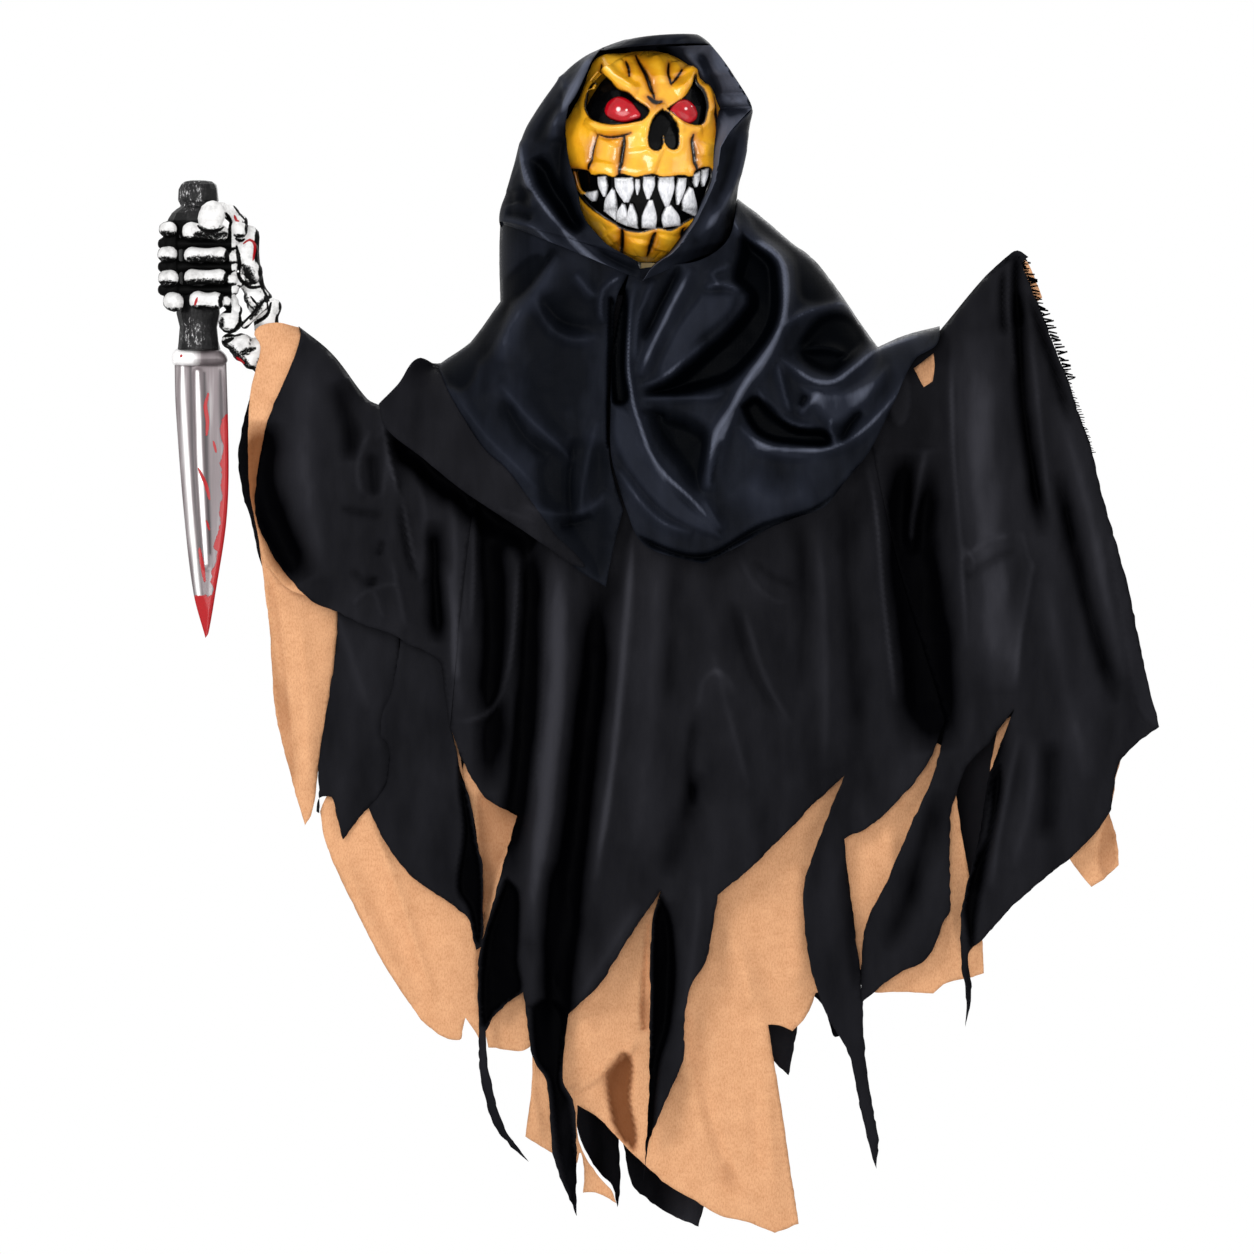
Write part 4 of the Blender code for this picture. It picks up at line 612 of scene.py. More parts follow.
right_cape_px = [
    px(500, 300, 470, 341, 440, 362), px(436, 366, 448, 391, 463, 417, 485, 450, 507, 470, 524, 494),
    px(545, 528, 572, 565), px(606, 587, 611, 560, 618, 530),
    px(623, 511, 613, 478, 609, 450, 609, 411, 611, 368, 614, 335, 616, 302),
    px(630, 272, 600, 258, 553, 236, 515, 218), px(500, 212, 499, 260),
]
shoulder_drape_px = [
    px(380, 405, 399, 385, 418, 359), px(437, 365, 448, 391, 463, 417, 485, 450, 507, 470, 530, 500),
    px(556, 536, 585, 566), px(572, 565, 541, 543, 502, 517, 463, 491, 425, 460, 386, 428),
]
left_cape_px = [
    px(738, 197, 764, 217, 792, 241, 812, 256, 830, 277, 848, 302, 868, 332), px(879, 346, 907, 334),
    px(941, 325, 936, 345, 914, 360, 892, 404, 868, 452, 843, 483, 823, 507, 792, 519, 766, 530, 741, 545),
    px(703, 564, 669, 556, 650, 549, 637, 537, 628, 515, 619, 487, 611, 454, 611, 404, 612, 360, 618, 320),
    px(630, 272, 660, 268, 700, 262, 728, 240),
]
right_cape_back_px = [
    px(500, 300, 470, 341, 440, 362), px(436, 366, 420, 400, 450, 470, 500, 540, 570, 590), px(642, 600),
    px(642, 258, 590, 240, 540, 222), px(500, 212, 499, 260),
]
left_cape_back_px = [
    px(642, 258), px(642, 600, 720, 590, 790, 545, 860, 470, 912, 400, 938, 345), px(941, 325, 907, 334),
    px(879, 346, 848, 302, 830, 277, 812, 256, 792, 241, 764, 217), px(738, 197, 724, 222, 690, 246),
]


def cape_front(points):
    """Depth and fold height of the cape's front, which fans from the neck and from where it is pinched."""
    right = points[:, 0].mean() < 600
    height = folds(points, cape_right_folds if right else cape_left_folds)
    height += patches(points, cape_right_patches if right else cape_left_patches)
    height += 1.0 * MM * waves(points, 26, 11) + 0.3 * MM * waves(points, 9, 12)
    overlap = 0 if right else cape_overlap
    return -(cape_front_depth + overlap + height) * top_rise(points, cape_tops_px, shoulder_round), height


def cape_back(points):
    """Depth and fold height of the cape's back."""
    fan = np.arctan2(points[:, 0] - axis_px, points[:, 1] - 150)
    height = 4 * MM * np.sin(fan * 22) + 2 * MM * waves(points, 34, 13)
    return (cape_back_depth + height) * top_rise(points, cape_tops_px, shoulder_round), height


# Folds of the lining, and its shaded hollows
lining_patches = [
    (px(602, 1072, 629, 1052, 632, 1100, 636, 1152, 616, 1134, 608, 1110), -15, 4),
    (px(649, 905, 651, 960, 650, 1032, 641, 1030, 643, 960), -8, 2),
    (px(474, 790, 520, 808, 502, 870, 486, 936, 480, 1020, 476, 900), -7, 6),
    (px(262, 560, 276, 590, 288, 690, 296, 790, 284, 770, 270, 700), -6, 5),
    (px(1112, 796, 1122, 850, 1120, 868, 1106, 880, 1098, 850), -6, 5),
    (px(730, 1010, 760, 1000, 772, 1120, 760, 1170, 742, 1110), -4, 14),
]
lining_folds = [
    (px(560, 900, 580, 1000, 600, 1120), 16, 8, 1.8),
    (px(560, 1094, 582, 1086, 606, 1070, 628, 1053, 642, 1034), 3, 7, 1.3),
    (px(640, 900, 680, 1040, 720, 1190), 20, 10, 1.8),
    (px(720, 900, 750, 1000, 770, 1150, 780, 1220), 14, 8, 1.7),
    (px(690, 1000, 706, 1100, 740, 1210), 8, -6, 1.6), (px(800, 860, 800, 940, 806, 990), 12, 7, 1.7),
    (px(880, 800, 900, 900, 905, 990), 12, 7, 1.7), (px(940, 860, 956, 940, 966, 980), 7, 5, 1.5),
    (px(505, 860, 500, 960, 505, 1040), 8, 6, 1.6), (px(520, 1040, 535, 1110, 545, 1150), 6, 5, 1.5),
    (px(340, 850, 370, 930, 420, 1010), 12, 8, 1.7), (px(366, 812, 400, 900, 440, 1020), 6, 6, 1.4),
    (px(300, 620, 304, 700, 306, 800), 10, 6, 1.7), (px(266, 560, 274, 640, 284, 700), 4, 4, 1.4),
    (px(1040, 800, 1050, 840, 1080, 870), 10, 6, 1.6),
]
front_lining_px = [
    px(500, 700, 620, 690, 760, 690, 880, 712, 926, 736), px(952, 752, 962, 830, 975, 900, 983, 940),
    px(985, 974, 970, 979, 948, 984), px(934, 995, 905, 993), px(876, 994, 860, 970, 840, 985),
    px(816, 994, 808, 1015), px(793, 1032, 780, 1026), px(768, 1025, 777, 1080, 785, 1130, 791, 1173),
    px(799, 1225),
    px(775, 1234, 749, 1223, 720, 1216, 695, 1201, 666, 1184, 649, 1169, 620, 1141, 599, 1119),
    px(577, 1105, 578, 1138, 589, 1163, 600, 1178, 612, 1192), px(616, 1204, 599, 1194),
    px(583, 1193, 584, 1178, 581, 1153), px(577, 1163, 566, 1156), px(553, 1154, 540, 1146),
    px(525, 1137, 532, 1080), px(531, 1019, 529, 1048),
    px(488, 1048, 480, 1000, 482, 900, 474, 820, 462, 770),
]
right_lining_px = [
    px(430, 640, 452, 700, 462, 770, 474, 840, 484, 900, 482, 1000), px(479, 1041, 472, 1028),
    px(465, 1019, 462, 1032, 459, 1041, 441, 1037),
    px(420, 1021, 386, 970, 370, 940, 348, 896, 330, 858, 322, 832), px(319, 812, 326, 796),
    px(332, 797, 360, 760, 400, 690),
]
flap_px = [
    px(330, 560, 336, 612, 335, 644, 327, 711, 319, 759, 311, 813),
    px(304, 826, 298, 807, 287, 768, 274, 711, 268, 631, 261, 568), px(256, 530),
]
cuff_lining_px = [
    px(297, 326, 312, 350, 300, 420, 280, 500, 300, 570), px(330, 600, 290, 590),
    px(262, 560, 256, 529, 249, 495, 247, 456, 248, 415, 251, 385, 255, 369, 260, 346, 254, 331, 272, 322),
]
left_lining_px = [
    px(1000, 720, 1118, 700, 1116, 790), px(1111, 812, 1119, 844), px(1120, 866, 1105, 880),
    px(1093, 888, 1080, 872), px(1071, 860, 1030, 850, 1000, 850, 990, 790),
]
lining_patch_px = [
    px(914, 368, 922, 362), px(934, 353, 935, 366), px(933, 381), px(924, 387),
]
left_cuff_lining_px = [
    px(1012, 262, 1020, 258, 1028, 261, 1036, 279), px(1043, 297, 1036, 302, 1024, 300),
]


def lining_depth(points):
    """Depth and fold height of the lining, close behind the robe."""
    depth = lining_front_depth + (lining_sleeve_depth - lining_front_depth) * side_share(points)
    height = folds(points, lining_folds) + patches(points, lining_patches)
    height = height + 1.0 * MM * waves(points, 24, 15) + 0.3 * MM * waves(points, 7, 16)
    return -(depth + height) * top_rise(points, robe_top_px, sleeve_round), height


def swing(piece):
    """Bakes a piece's place into its mesh, for a piece that lies between the torso and an arm."""
    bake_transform(piece)


def make_robe(finishes):
    """The robe, its sleeves and its lining, from rows of a name, outline, surface, side, node and fray."""
    over_robe, under_cuff = behind(robe_front, -1.2 * MM), behind(robe_front, 2.5 * MM)
    behind_back = behind(robe_back, 1.2 * MM)
    robe_rows = [
        ("robe_front", body_front_px, robe_front, None, "robe_body", 0.8),
        ("robe_back", body_back_px, robe_back, None, "robe_body", 0.8),
        ("right_sleeve_front", right_sleeve_front_px, over_robe, "right", "right_sleeve", 0.6),
        ("right_side_panel", side_panel_px, behind(robe_front, 7 * MM), "right", "right_sleeve", 0.8),
        ("right_inner_panel", inner_panel_px, behind(robe_front, 12 * MM), "right", "right_sleeve", 0.8),
        ("right_sleeve_back", right_back_px, behind_back, "right", "right_sleeve", 0.8),
        ("left_sleeve_front", left_front_px, over_robe, "left", "left_sleeve", 0.8),
        ("left_sleeve_back", left_back_px, behind_back, "left", "left_sleeve", 0.8),
    ]
    lining_rows = [
        ("front_lining_cloth", front_lining_px, lining_depth, None, "front_lining", 0.5),
        ("right_lining_cloth", right_lining_px, lining_depth, "right", "right_sleeve_lining", 0.5),
        ("right_flap_lining", flap_px, behind(lining_depth, 6 * MM), "right", "right_sleeve_lining", 0.5),
        ("right_cuff_lining", cuff_lining_px, under_cuff, "right", "right_sleeve_lining", 0.3),
        ("left_lining_cloth", left_lining_px, lining_depth, "left", "left_sleeve_lining", 0.5),
        ("left_cuff_lining", left_cuff_lining_px, under_cuff, "left", "left_sleeve_lining", 0.3),
        ("left_lining_patch", lining_patch_px, behind(robe_front, -2.6 * MM), "left", None, 0.2),
    ]
    table = [(*row, finishes["robe"], "robe_taffeta", robe_thickness) for row in robe_rows]
    table += [(*row, finishes["lining"], "lining_peach", lining_thickness) for row in lining_rows]
    kept_lines = [right_seam_px, left_seam_px, *robe_top_px]
    for number, (name, strokes, surface, side, node, fray, material, slot, thickness) in enumerate(table):
        loop = outline(strokes, fray=fray, seed=number, kept=kept_lines)
        piece = sheet_piece(name, loop, material, surface, thickness)
        if side:
            swing(piece)
        else:
            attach(piece, "torso")
        if node:
            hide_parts(node)


def make_cape(finishes):
    """The shoulder drape, and the cape in four sheets."""
    drape = outline(shoulder_drape_px, fray=0.2, seed=31)
    tail = sheet_piece("shoulder_drape", drape, finishes["robe"], behind(cape_front, -1 * MM), robe_thickness)
    swing(tail)
    table = (
        ("right", "front", right_cape_px, cape_front), ("right", "back", right_cape_back_px, cape_back),
        ("left", "front", left_cape_px, cape_front), ("left", "back", left_cape_back_px, cape_back),
    )
    for side, layer, strokes, surface in table:
        loop = outline(strokes, step=cape_step_px, fray=0.1, seed=41)
        piece = sheet_piece(f"{side}_cape_{layer}", loop, finishes["satin"], surface, robe_thickness,
                            cape_step_px)
        swing(piece)
        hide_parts("cape")


# Finishes

def tone(red, green, blue):
    """A material colour from screen values of 0 to 255."""
    shares = [((c / 255 + 0.055) / 1.055) ** 2.4 if c > 10 else c / 3295 for c in (red, green, blue)]
    return (*shares, 1)


def add(material, kind, inputs=None, **settings):
    """A shader node, with values or links for its inputs."""
    node = material.node_tree.nodes.new("ShaderNode" + kind)
    for key, value in settings.items():
        setattr(node, key, value)
    for key, value in (inputs or {}).items():
        if isinstance(value, bpy.types.NodeSocket):
            material.node_tree.links.new(value, node.inputs[key])
        else:
            node.inputs[key].default_value = value
    return node


def finish(name, colour, roughness, **sockets):
    """A material with the plain numbers of its shader."""
    material = bpy.data.materials.new(name)
    material.use_nodes = True
    shader = material.node_tree.nodes["Principled BSDF"]
    values = {"Base Color": colour, "Roughness": roughness}
    for key, value in sockets.items():
        values[key.replace("_", " ").title().replace("Ior", "IOR")] = value
    for key, value in values.items():
        shader.inputs[key].default_value = value
    return material


def join_up(material, socket, value):
    """Links a node's result to a socket of the material's shader."""
    material.node_tree.links.new(value, material.node_tree.nodes["Principled BSDF"].inputs[socket])


def spot(material, stretch=(1, 1, 1), name=None):
    """Where a point is on the object, or a stored place that moves with the cloth."""
    if name:
        where = add(material, "Attribute", attribute_name=name).outputs["Vector"]
    else:
        where = add(material, "TexCoord").outputs["Object"]
    return add(material, "Mapping", {"Vector": where, "Scale": stretch}).outputs["Vector"]


def stored(material, name):
    """A number that is stored on the mesh."""
    return add(material, "Attribute", attribute_name=name).outputs["Fac"]


def noise(material, where, size, detail=3.0, rough=0.55, kind="FBM", warp=0.0):
    """Noise with blotches of a given size in metres."""
    values = {"Vector": where, "Scale": 1 / size, "Detail": detail, "Roughness": rough, "Distortion": warp}
    return add(material, "TexNoise", values, noise_type=kind).outputs[0]


def ramp(material, value, *stops):
    """Colours along a value."""
    node = add(material, "ValToRGB", {"Fac": value})
    for number, (position, colour) in enumerate(stops):
        stop = node.color_ramp.elements[number] if number < 2 else node.color_ramp.elements.new(position)
        stop.position = position
        stop.color = colour
    return node.outputs["Color"]


def level(material, value, low, high, to_low=0.0, to_high=1.0):
    """Stretches a range of values to another."""
    values = {"Value": value, "From Min": low, "From Max": high, "To Min": to_low, "To Max": to_high}
    return add(material, "MapRange", values).outputs["Result"]


def mixed(material, share, first, second):
    """One colour over another."""
    node = add(material, "Mix", data_type="RGBA")
    for key, value in ((0, share), (6, first), (7, second)):
        if isinstance(value, bpy.types.NodeSocket):
            material.node_tree.links.new(value, node.inputs[key])
        else:
            node.inputs[key].default_value = value
    return node.outputs[2]


def sums(material, kind, first, second):
    """Arithmetic on two values."""
    return add(material, "Math", {0: first, 1: second}, operation=kind).outputs["Value"]


def uneven(material, name, grain, spread, low=0.0, high=1.0):
    """A number that is stored on the mesh, made uneven by a grain, up to the spread both ways."""
    return sums(material, "ADD", stored(material, name), level(material, grain, low, high, -spread, spread))


def relief(material, *layers):
    """Bumps from heights from 0 to 1 and their depths in metres, linked to the shader."""
    normal = None
    for height, depth in layers:
        values = {"Height": height, "Distance": depth, "Strength": 1.0}
        if normal:
            values["Normal"] = normal
        normal = add(material, "Bump", values).outputs["Normal"]
    join_up(material, "Normal", normal)


def weave(material, where, pitch):
    """Crossing threads."""
    threads = [add(material, "TexWave", {"Vector": where, "Scale": 0.05 / pitch, "Distortion": 0.4},
                   bands_direction=axis).outputs["Fac"] for axis in ("X", "Z")]
    return sums(material, "MAXIMUM", *threads)


def cloth_finish(name, shading_tones, roughness, crease, depth, shine):
    """Thin creased cloth with a fine weave, with painted shade in its folds and painted highlights on its
    crests.
    """
    material = finish(name, shading_tones[1], roughness, specular_ior_level=shine)
    flat = spot(material, name="cut")
    tall = spot(material, (1, 1, 0.3), "cut")
    sharp = noise(material, flat, crease, 4, 0.5, "RIDGED_MULTIFRACTAL", 0.6)
    long_lines = noise(material, tall, crease * 0.7, 3, 0.5, "RIDGED_MULTIFRACTAL", 0.4)
    soft = noise(material, flat, crease * 2.4, 2)
    fibres = noise(material, flat, 0.9 * MM, 2)
    # Painted shade and highlight from the fold height, made uneven by random tone
    lightness = uneven(material, "fold_light_and_shade", noise(material, tall, 30 * MM, 4), 0.16, 0.2, 0.8)
    join_up(material, "Base Color", ramp(material, lightness, *zip((0.10, 0.42, 0.78, 1.0), shading_tones)))
    relief(material, (level(material, sharp, 0.2, 1.6), depth),
           (level(material, long_lines, 0.2, 1.6), depth * 0.8), (soft, depth * 2.2),
           (weave(material, flat, 0.55 * MM), 0.04 * MM), (fibres, 0.06 * MM))
    join_up(material, "Roughness", level(material, fibres, 0.3, 0.7, roughness - 0.06, roughness + 0.08))
    return material


def lining_finish():
    """Bonded peach fibre cloth with a speckle of fibres, and painted shade in its hollows that also stands
    for the dark cloth showing faintly through it.
    """
    material = finish("peach_lining", tone(204, 152, 112), 0.85, specular_ior_level=0.05)
    flat = spot(material, name="cut")
    fibres = noise(material, spot(material, (1, 1, 0.45), "cut"), 1.3 * MM, 3, 0.7)
    cloud = noise(material, flat, 14 * MM, 4, 0.6)
    colour = ramp(material, cloud, (0.3, tone(192, 138, 98)), (0.7, tone(213, 160, 119)))
    speckle = ramp(material, fibres, (0.36, tone(178, 122, 84)), (0.56, tone(218, 169, 128)))
    # Painted shade: dark brown in the lining's hollows
    hollow_shade = level(material, stored(material, "fold_light_and_shade"), 0.46, 0.0, 0.0, 0.9)
    cloth = mixed(material, 0.42, colour, speckle)
    join_up(material, "Base Color", mixed(material, hollow_shade, cloth, tone(104, 58, 28)))
    pressed = add(material, "TexVoronoi", {"Vector": flat, "Scale": 1 / (2.2 * MM)}).outputs["Distance"]
    creases = noise(material, flat, 20 * MM, 3, 0.5, "RIDGED_MULTIFRACTAL", 0.5)
    relief(material, (level(material, creases, 0.2, 1.6), 0.8 * MM), (pressed, 0.10 * MM),
           (fibres, 0.14 * MM))
    return material


def pumpkin_finish():
    """Glossy painted pumpkin shell, with black rubbed into its grooves, a worn gradient, and a soft brown
    painted shade round its grooves and openings.
    """
    material = finish("painted_pumpkin", tone(243, 180, 46), 0.3, coat_weight=0.5, coat_roughness=0.08,
                      specular_ior_level=0.4)
    where = spot(material)
    cloud = noise(material, where, 22 * MM, 4, 0.6)
    skin = ramp(material, cloud, (0.25, tone(232, 154, 18)), (0.5, tone(241, 174, 32)),
                (0.75, tone(247, 190, 54)))
    shade = stored(material, "shade")
    skin = mixed(material, shade, skin, tone(160, 80, 6))
    ink_and_shade = uneven(material, "ink_and_shade", noise(material, where, 2.5 * MM, 4), 0.22)
    ink_and_shade = level(material, ink_and_shade, 0.26, 0.80)
    speck = level(material, noise(material, where, 1.1 * MM, 2), 0.70, 0.78, 0, 0.35)
    dark = sums(material, "MAXIMUM", ink_and_shade, sums(material, "MULTIPLY", speck, shade))
    join_up(material, "Base Color", mixed(material, dark, skin, tone(7, 5, 4)))
    join_up(material, "Specular IOR Level", level(material, ink_and_shade, 0, 1, 0.4, 0.1))
    relief(material, (noise(material, where, 7 * MM, 3), 0.5 * MM),
           (noise(material, where, 1.6 * MM, 2), 0.07 * MM))
    return material


def tooth_finish():
    """White painted teeth, darker at their roots and edges."""
    material = finish("tooth_paint", tone(240, 240, 242), 0.24, coat_weight=0.4, coat_roughness=0.08)
    where = spot(material)
    darkening = uneven(material, "ink_and_shade", noise(material, where, 2 * MM, 4), 0.3)
    streak = noise(material, spot(material, (1, 1, 0.25)), 2.2 * MM, 3)
    body = ramp(material, streak, (0.35, tone(196, 197, 202)), (0.6, tone(228, 228, 231)))
    darkened = level(material, darkening, 0.30, 0.95)
    join_up(material, "Base Color", mixed(material, darkened, body, tone(12, 11, 11)))
    relief(material, (streak, 0.05 * MM))
    return material


def bone_finish():
    """Off-white bones with black dry-brushed into joints and scratches, and painted shade under them, in
    their recesses and down the fist's right side.
    """
    material = finish("aged_bone", tone(226, 222, 216), 0.5, specular_ior_level=0.35)
    where = spot(material)
    cloud = noise(material, where, 9 * MM, 5, 0.65)
    body = ramp(material, cloud, (0.28, tone(176, 175, 174)), (0.5, tone(216, 215, 214)),
                (0.8, tone(234, 234, 234)))
    # Black ink together with painted shade, from the stored mark
    darkening = uneven(material, "ink_and_shade", noise(material, where, 2.2 * MM, 6, 0.8), 0.36, 0.2, 0.8)
    inked_and_shaded = level(material, darkening, 0.42, 0.58)
    darkened = mixed(material, inked_and_shaded, body, tone(5, 5, 5))
    join_up(material, "Specular IOR Level", level(material, inked_and_shaded, 0, 1, 0.3, 0.04))
    blood = uneven(material, "blood", noise(material, where, 2.2 * MM, 4), 0.2)
    bloody = level(material, blood, 0.38, 0.5)
    join_up(material, "Base Color", mixed(material, bloody, darkened, tone(158, 8, 20)))
    scratches = noise(material, spot(material, (0.4, 1, 1)), 1.6 * MM, 4, 0.6)
    relief(material, (scratches, 0.25 * MM), (cloud, 0.4 * MM))
    return material


def blade_finish():
    """Silver painted toy blade, with painted highlights along its bevel and fuller and painted shade beside
    them, with red paint over it.
    """
    material = finish("silver_paint", tone(150, 142, 142), 0.34, metallic=0.2, specular_ior_level=0.3)
    where = spot(material)
    streak = noise(material, spot(material, (1, 1, 0.06)), 5 * MM, 3, 0.5)
    # Painted highlights and shade from the stored shine mark, with random streaks
    painted_light = uneven(material, "shine", streak, 0.16)
    body = ramp(material, painted_light, (0.08, tone(58, 52, 54)), (0.45, tone(108, 99, 101)),
                (0.92, tone(244, 242, 242)))
    blood = uneven(material, "blood", noise(material, where, 3.2 * MM, 4, 0.6), 0.3)
    share = level(material, blood, 0.42, 0.50)
    join_up(material, "Base Color", mixed(material, share, body, tone(158, 10, 18)))
    join_up(material, "Metallic", level(material, share, 0, 1, 0.2, 0.0))
    relief(material, (streak, 0.06 * MM), (share, 0.2 * MM))
    return material


def plain_finish(name, colour, lightness, roughness, grain, depth, **sockets):
    """A moulded or metal finish with blotches, grain and rubbed places."""
    material = finish(name, colour, roughness, **sockets)
    where = spot(material)
    cloud = noise(material, where, 16 * MM, 5, 0.6)
    join_up(material, "Base Color", ramp(material, cloud, (0.42, colour), (0.8, lightness)))
    join_up(material, "Roughness", level(material, cloud, 0.3, 0.7, roughness - 0.08, roughness + 0.1))
    relief(material, (noise(material, where, grain, 3), depth))
    return material


def handle_finish():
    """Black grip with light dry-brushed dabs on its facets."""
    material = finish("handle_black", tone(12, 11, 12), 0.4, specular_ior_level=0.15)
    grain = noise(material, spot(material, (1.4, 1.4, 0.6)), 3.4 * MM, 6, 0.75)
    dabs = sums(material, "ADD", grain, level(material, stored(material, "lightness"), 0, 1, -0.36, 0.0))
    colour = ramp(material, dabs, (0.40, tone(9, 9, 10)), (0.56, tone(38, 37, 38)),
                  (0.64, tone(198, 197, 198)))
    join_up(material, "Base Color", colour)
    relief(material, (dabs, 0.5 * MM))
    return material


def lens_finish():
    """Clear red plastic with a darker rim and painted glints."""
    material = finish("red_lens", tone(205, 30, 46), 0.16, specular_ior_level=0.3)
    where = spot(material)
    cloud = noise(material, where, 6 * MM, 3)
    body = ramp(material, cloud, (0.3, tone(156, 6, 20)), (0.7, tone(186, 14, 30)))
    rim = mixed(material, stored(material, "ink_and_shade"), body, tone(66, 4, 10))
    glints = mixed(material, stored(material, "glint"), rim, tone(250, 214, 214))
    join_up(material, "Base Color", glints)
    relief(material, (noise(material, where, 3 * MM, 2), 0.05 * MM))
    return material


def make_finishes():
    """Every finish, by its short name."""
    # Each cloth's tones: painted shade in hollows, base, lighter, painted highlight on crests
    robe_shading_tones = tone(1, 1, 2), tone(19, 19, 22), tone(32, 32, 36), tone(46, 46, 51)
    satin_shading_tones = tone(1, 2, 4), tone(11, 13, 18), tone(32, 35, 44), tone(82, 86, 99)
    made = {
        "robe": cloth_finish("robe_taffeta", robe_shading_tones, 0.5, 26 * MM, 1.0 * MM, 0.008),
        "satin": cloth_finish("cape_satin", satin_shading_tones, 0.42, 34 * MM, 0.6 * MM, 0.014),
        "lining": lining_finish(), "pumpkin": pumpkin_finish(), "tooth": tooth_finish(),
        "bone": bone_finish(), "blade": blade_finish(), "lens": lens_finish(), "handle": handle_finish(),
    }
    # Short name, then name, colour, worn colour, roughness, grain and relief in millimetres, other sockets
    plain = (
        ("liner", "black_lacquer", (3, 3, 4), (9, 9, 10), 0.2, 5, 0.3, {"specular_ior_level": 0.08}),
        ("steel", "zinc_steel", (150, 150, 152), (196, 196, 194), 0.34, 1.2, 0.05, {"metallic": 1.0}),
        ("tube", "grey_tube", (120, 122, 126), (150, 152, 154), 0.42, 1.5, 0.06, {"metallic": 0.6}),
        ("case", "moulded_case", (20, 20, 22), (38, 38, 40), 0.5, 0.7, 0.06, {}),
        ("nylon", "white_nylon", (222, 222, 216), (240, 240, 236), 0.45, 0.9, 0.05, {}),
        ("cell", "cell_jacket", (32, 84, 62), (58, 116, 88), 0.3, 3, 0.05, {"coat_weight": 0.4}),
        ("board", "green_board", (18, 92, 48), (44, 128, 74), 0.4, 2, 0.12, {"coat_weight": 0.3}),
        ("tab", "cream_tab", (226, 200, 142), (242, 222, 172), 0.5, 1.4, 0.10, {}),
        ("led", "red_led", (190, 26, 34), (224, 60, 66), 0.15, 2, 0.03, {"coat_weight": 0.5}),
    )
    for key, name, colour, lightness, roughness, grain, depth, sockets in plain:
        made[key] = plain_finish(name, tone(*colour), tone(*lightness), roughness, grain * MM, depth * MM,
                                 **sockets)
    return made


def repaint(finishes):
    """Gives each CAD node that stays its finish."""
    table = {
        "steel": ("hanger_rod", "shoulder_bar", "right_shoulder_clevis", "left_shoulder_clevis",
                  "right_shoulder_pin", "left_shoulder_pin", "battery_contact_right", "battery_contact_left",
                  "case_screw_1", "case_screw_2", "case_screw_3", "case_screw_4"),
        "tube": ("right_arm_frame", "left_arm_frame"),
        "case": ("shoulder_hub", "chest_case_front", "chest_case_back", "battery_tray", "battery_door",
                 "left_arm_cap"),
        "nylon": ("upper_bushing", "lower_bushing", "neck_collar", "power_switch"),
        "cell": ("battery_cell_1", "battery_cell_2", "battery_cell_3"),
        "board": ("circuit_board", "eye_led_board"),
        "led": ("right_eye_led", "left_eye_led"),
        "liner": ("mask_liner",),
        "pumpkin": ("skull_back",),
        "tab": ("chin_tab",),
    }
    for key, names in table.items():
        for name in names:
            node = frame["nodes"][name]
            node.data.materials.clear()
            node.data.materials.append(finishes[key])


# Head

head_setback = 30 * MM
face_rim_depth = 0.75 * MM
face_rim_points = 620
face_step = 0.0155
face_shell = 2.2 * MM
rib_count = 14
rib_height = 1.2 * MM
lip_height = 1.0 * MM
cut_depth = 1.2 * MM
yaw_turn = np.array(Matrix.Rotation(head_yaw, 3, "Z"))


def face_angles(points):
    """The face's own angles of front view pixels, with the head turned as at rest."""
    spots = place(points, 0)
    rise = (spots[:, 2] - head_centre.z) / (face_height / 2)
    side = np.zeros(len(spots))
    for _ in range(30):
        front = np.sqrt(np.maximum(0, 1 - side ** 2 - rise ** 2))
        ahead = head_setback + face_depth * front
        side = (spots[:, 0] - ahead * math.sin(head_yaw)) / (face_width / 2 * math.cos(head_yaw))
    length = np.maximum(np.hypot(side, rise), 1e-9)
    turn = np.arcsin(np.minimum(0.999, length))
    return np.column_stack((side, rise)) * (turn / length)[:, None]


def face_place(angles, lift=0.0):
    """Places on the face's egg shape, or lifted off it."""
    turn = np.maximum(np.hypot(angles[:, 0], angles[:, 1]), 1e-9)
    around = np.degrees(np.arctan2(angles[:, 1], angles[:, 0])) % 360
    corner = 0.13 * np.exp(-((around - 125) / 14) ** 2)
    wide = np.sin(turn) * (1 + corner * (turn * 2 / math.pi) ** 3)
    side = wide * angles[:, 0] / turn
    rise = wide * angles[:, 1] / turn
    front = np.cos(turn)
    normal = np.column_stack((side / (face_width / 2), -front / face_depth, rise / (face_height / 2)))
    normal /= np.linalg.norm(normal, axis=1)[:, None]
    surface = np.column_stack((side * face_width / 2, -front * face_depth, rise * face_height / 2))
    spots = surface + np.array(head_centre) + normal * np.broadcast_to(lift, len(angles))[:, None]
    spots = spots @ yaw_turn.T
    pixels = to_px(spots)
    edge = np.clip((588 - pixels[:, 0]) / 15, 0, 1) ** 1.5 * np.exp(-((pixels[:, 1] - 140) / 36) ** 2)
    spots[:, 0] -= 9.5 * metres_per_px * edge
    return spots


def to_px(spots):
    """Front view pixels of places."""
    return np.column_stack((axis_px + spots[:, 0] / metres_per_px, eye_px - spots[:, 2] / metres_per_px))


def marks(points, table):
    """Strength from 0 to 1 of marks, from rows of a line and its width in pixels, thinner at its ends."""
    value = np.zeros(len(points))
    for line, width in table:
        smooth = curve(line, 3) if len(line) > 2 else np.asarray(line, float)
        distance, along = line_distance(points, smooth)
        taper = width * (0.35 + 0.65 * np.sin(np.pi * np.clip(along, 0.02, 0.98)) ** 0.5)
        value = np.maximum(value, np.exp(-(distance / taper) ** 2))
    return value


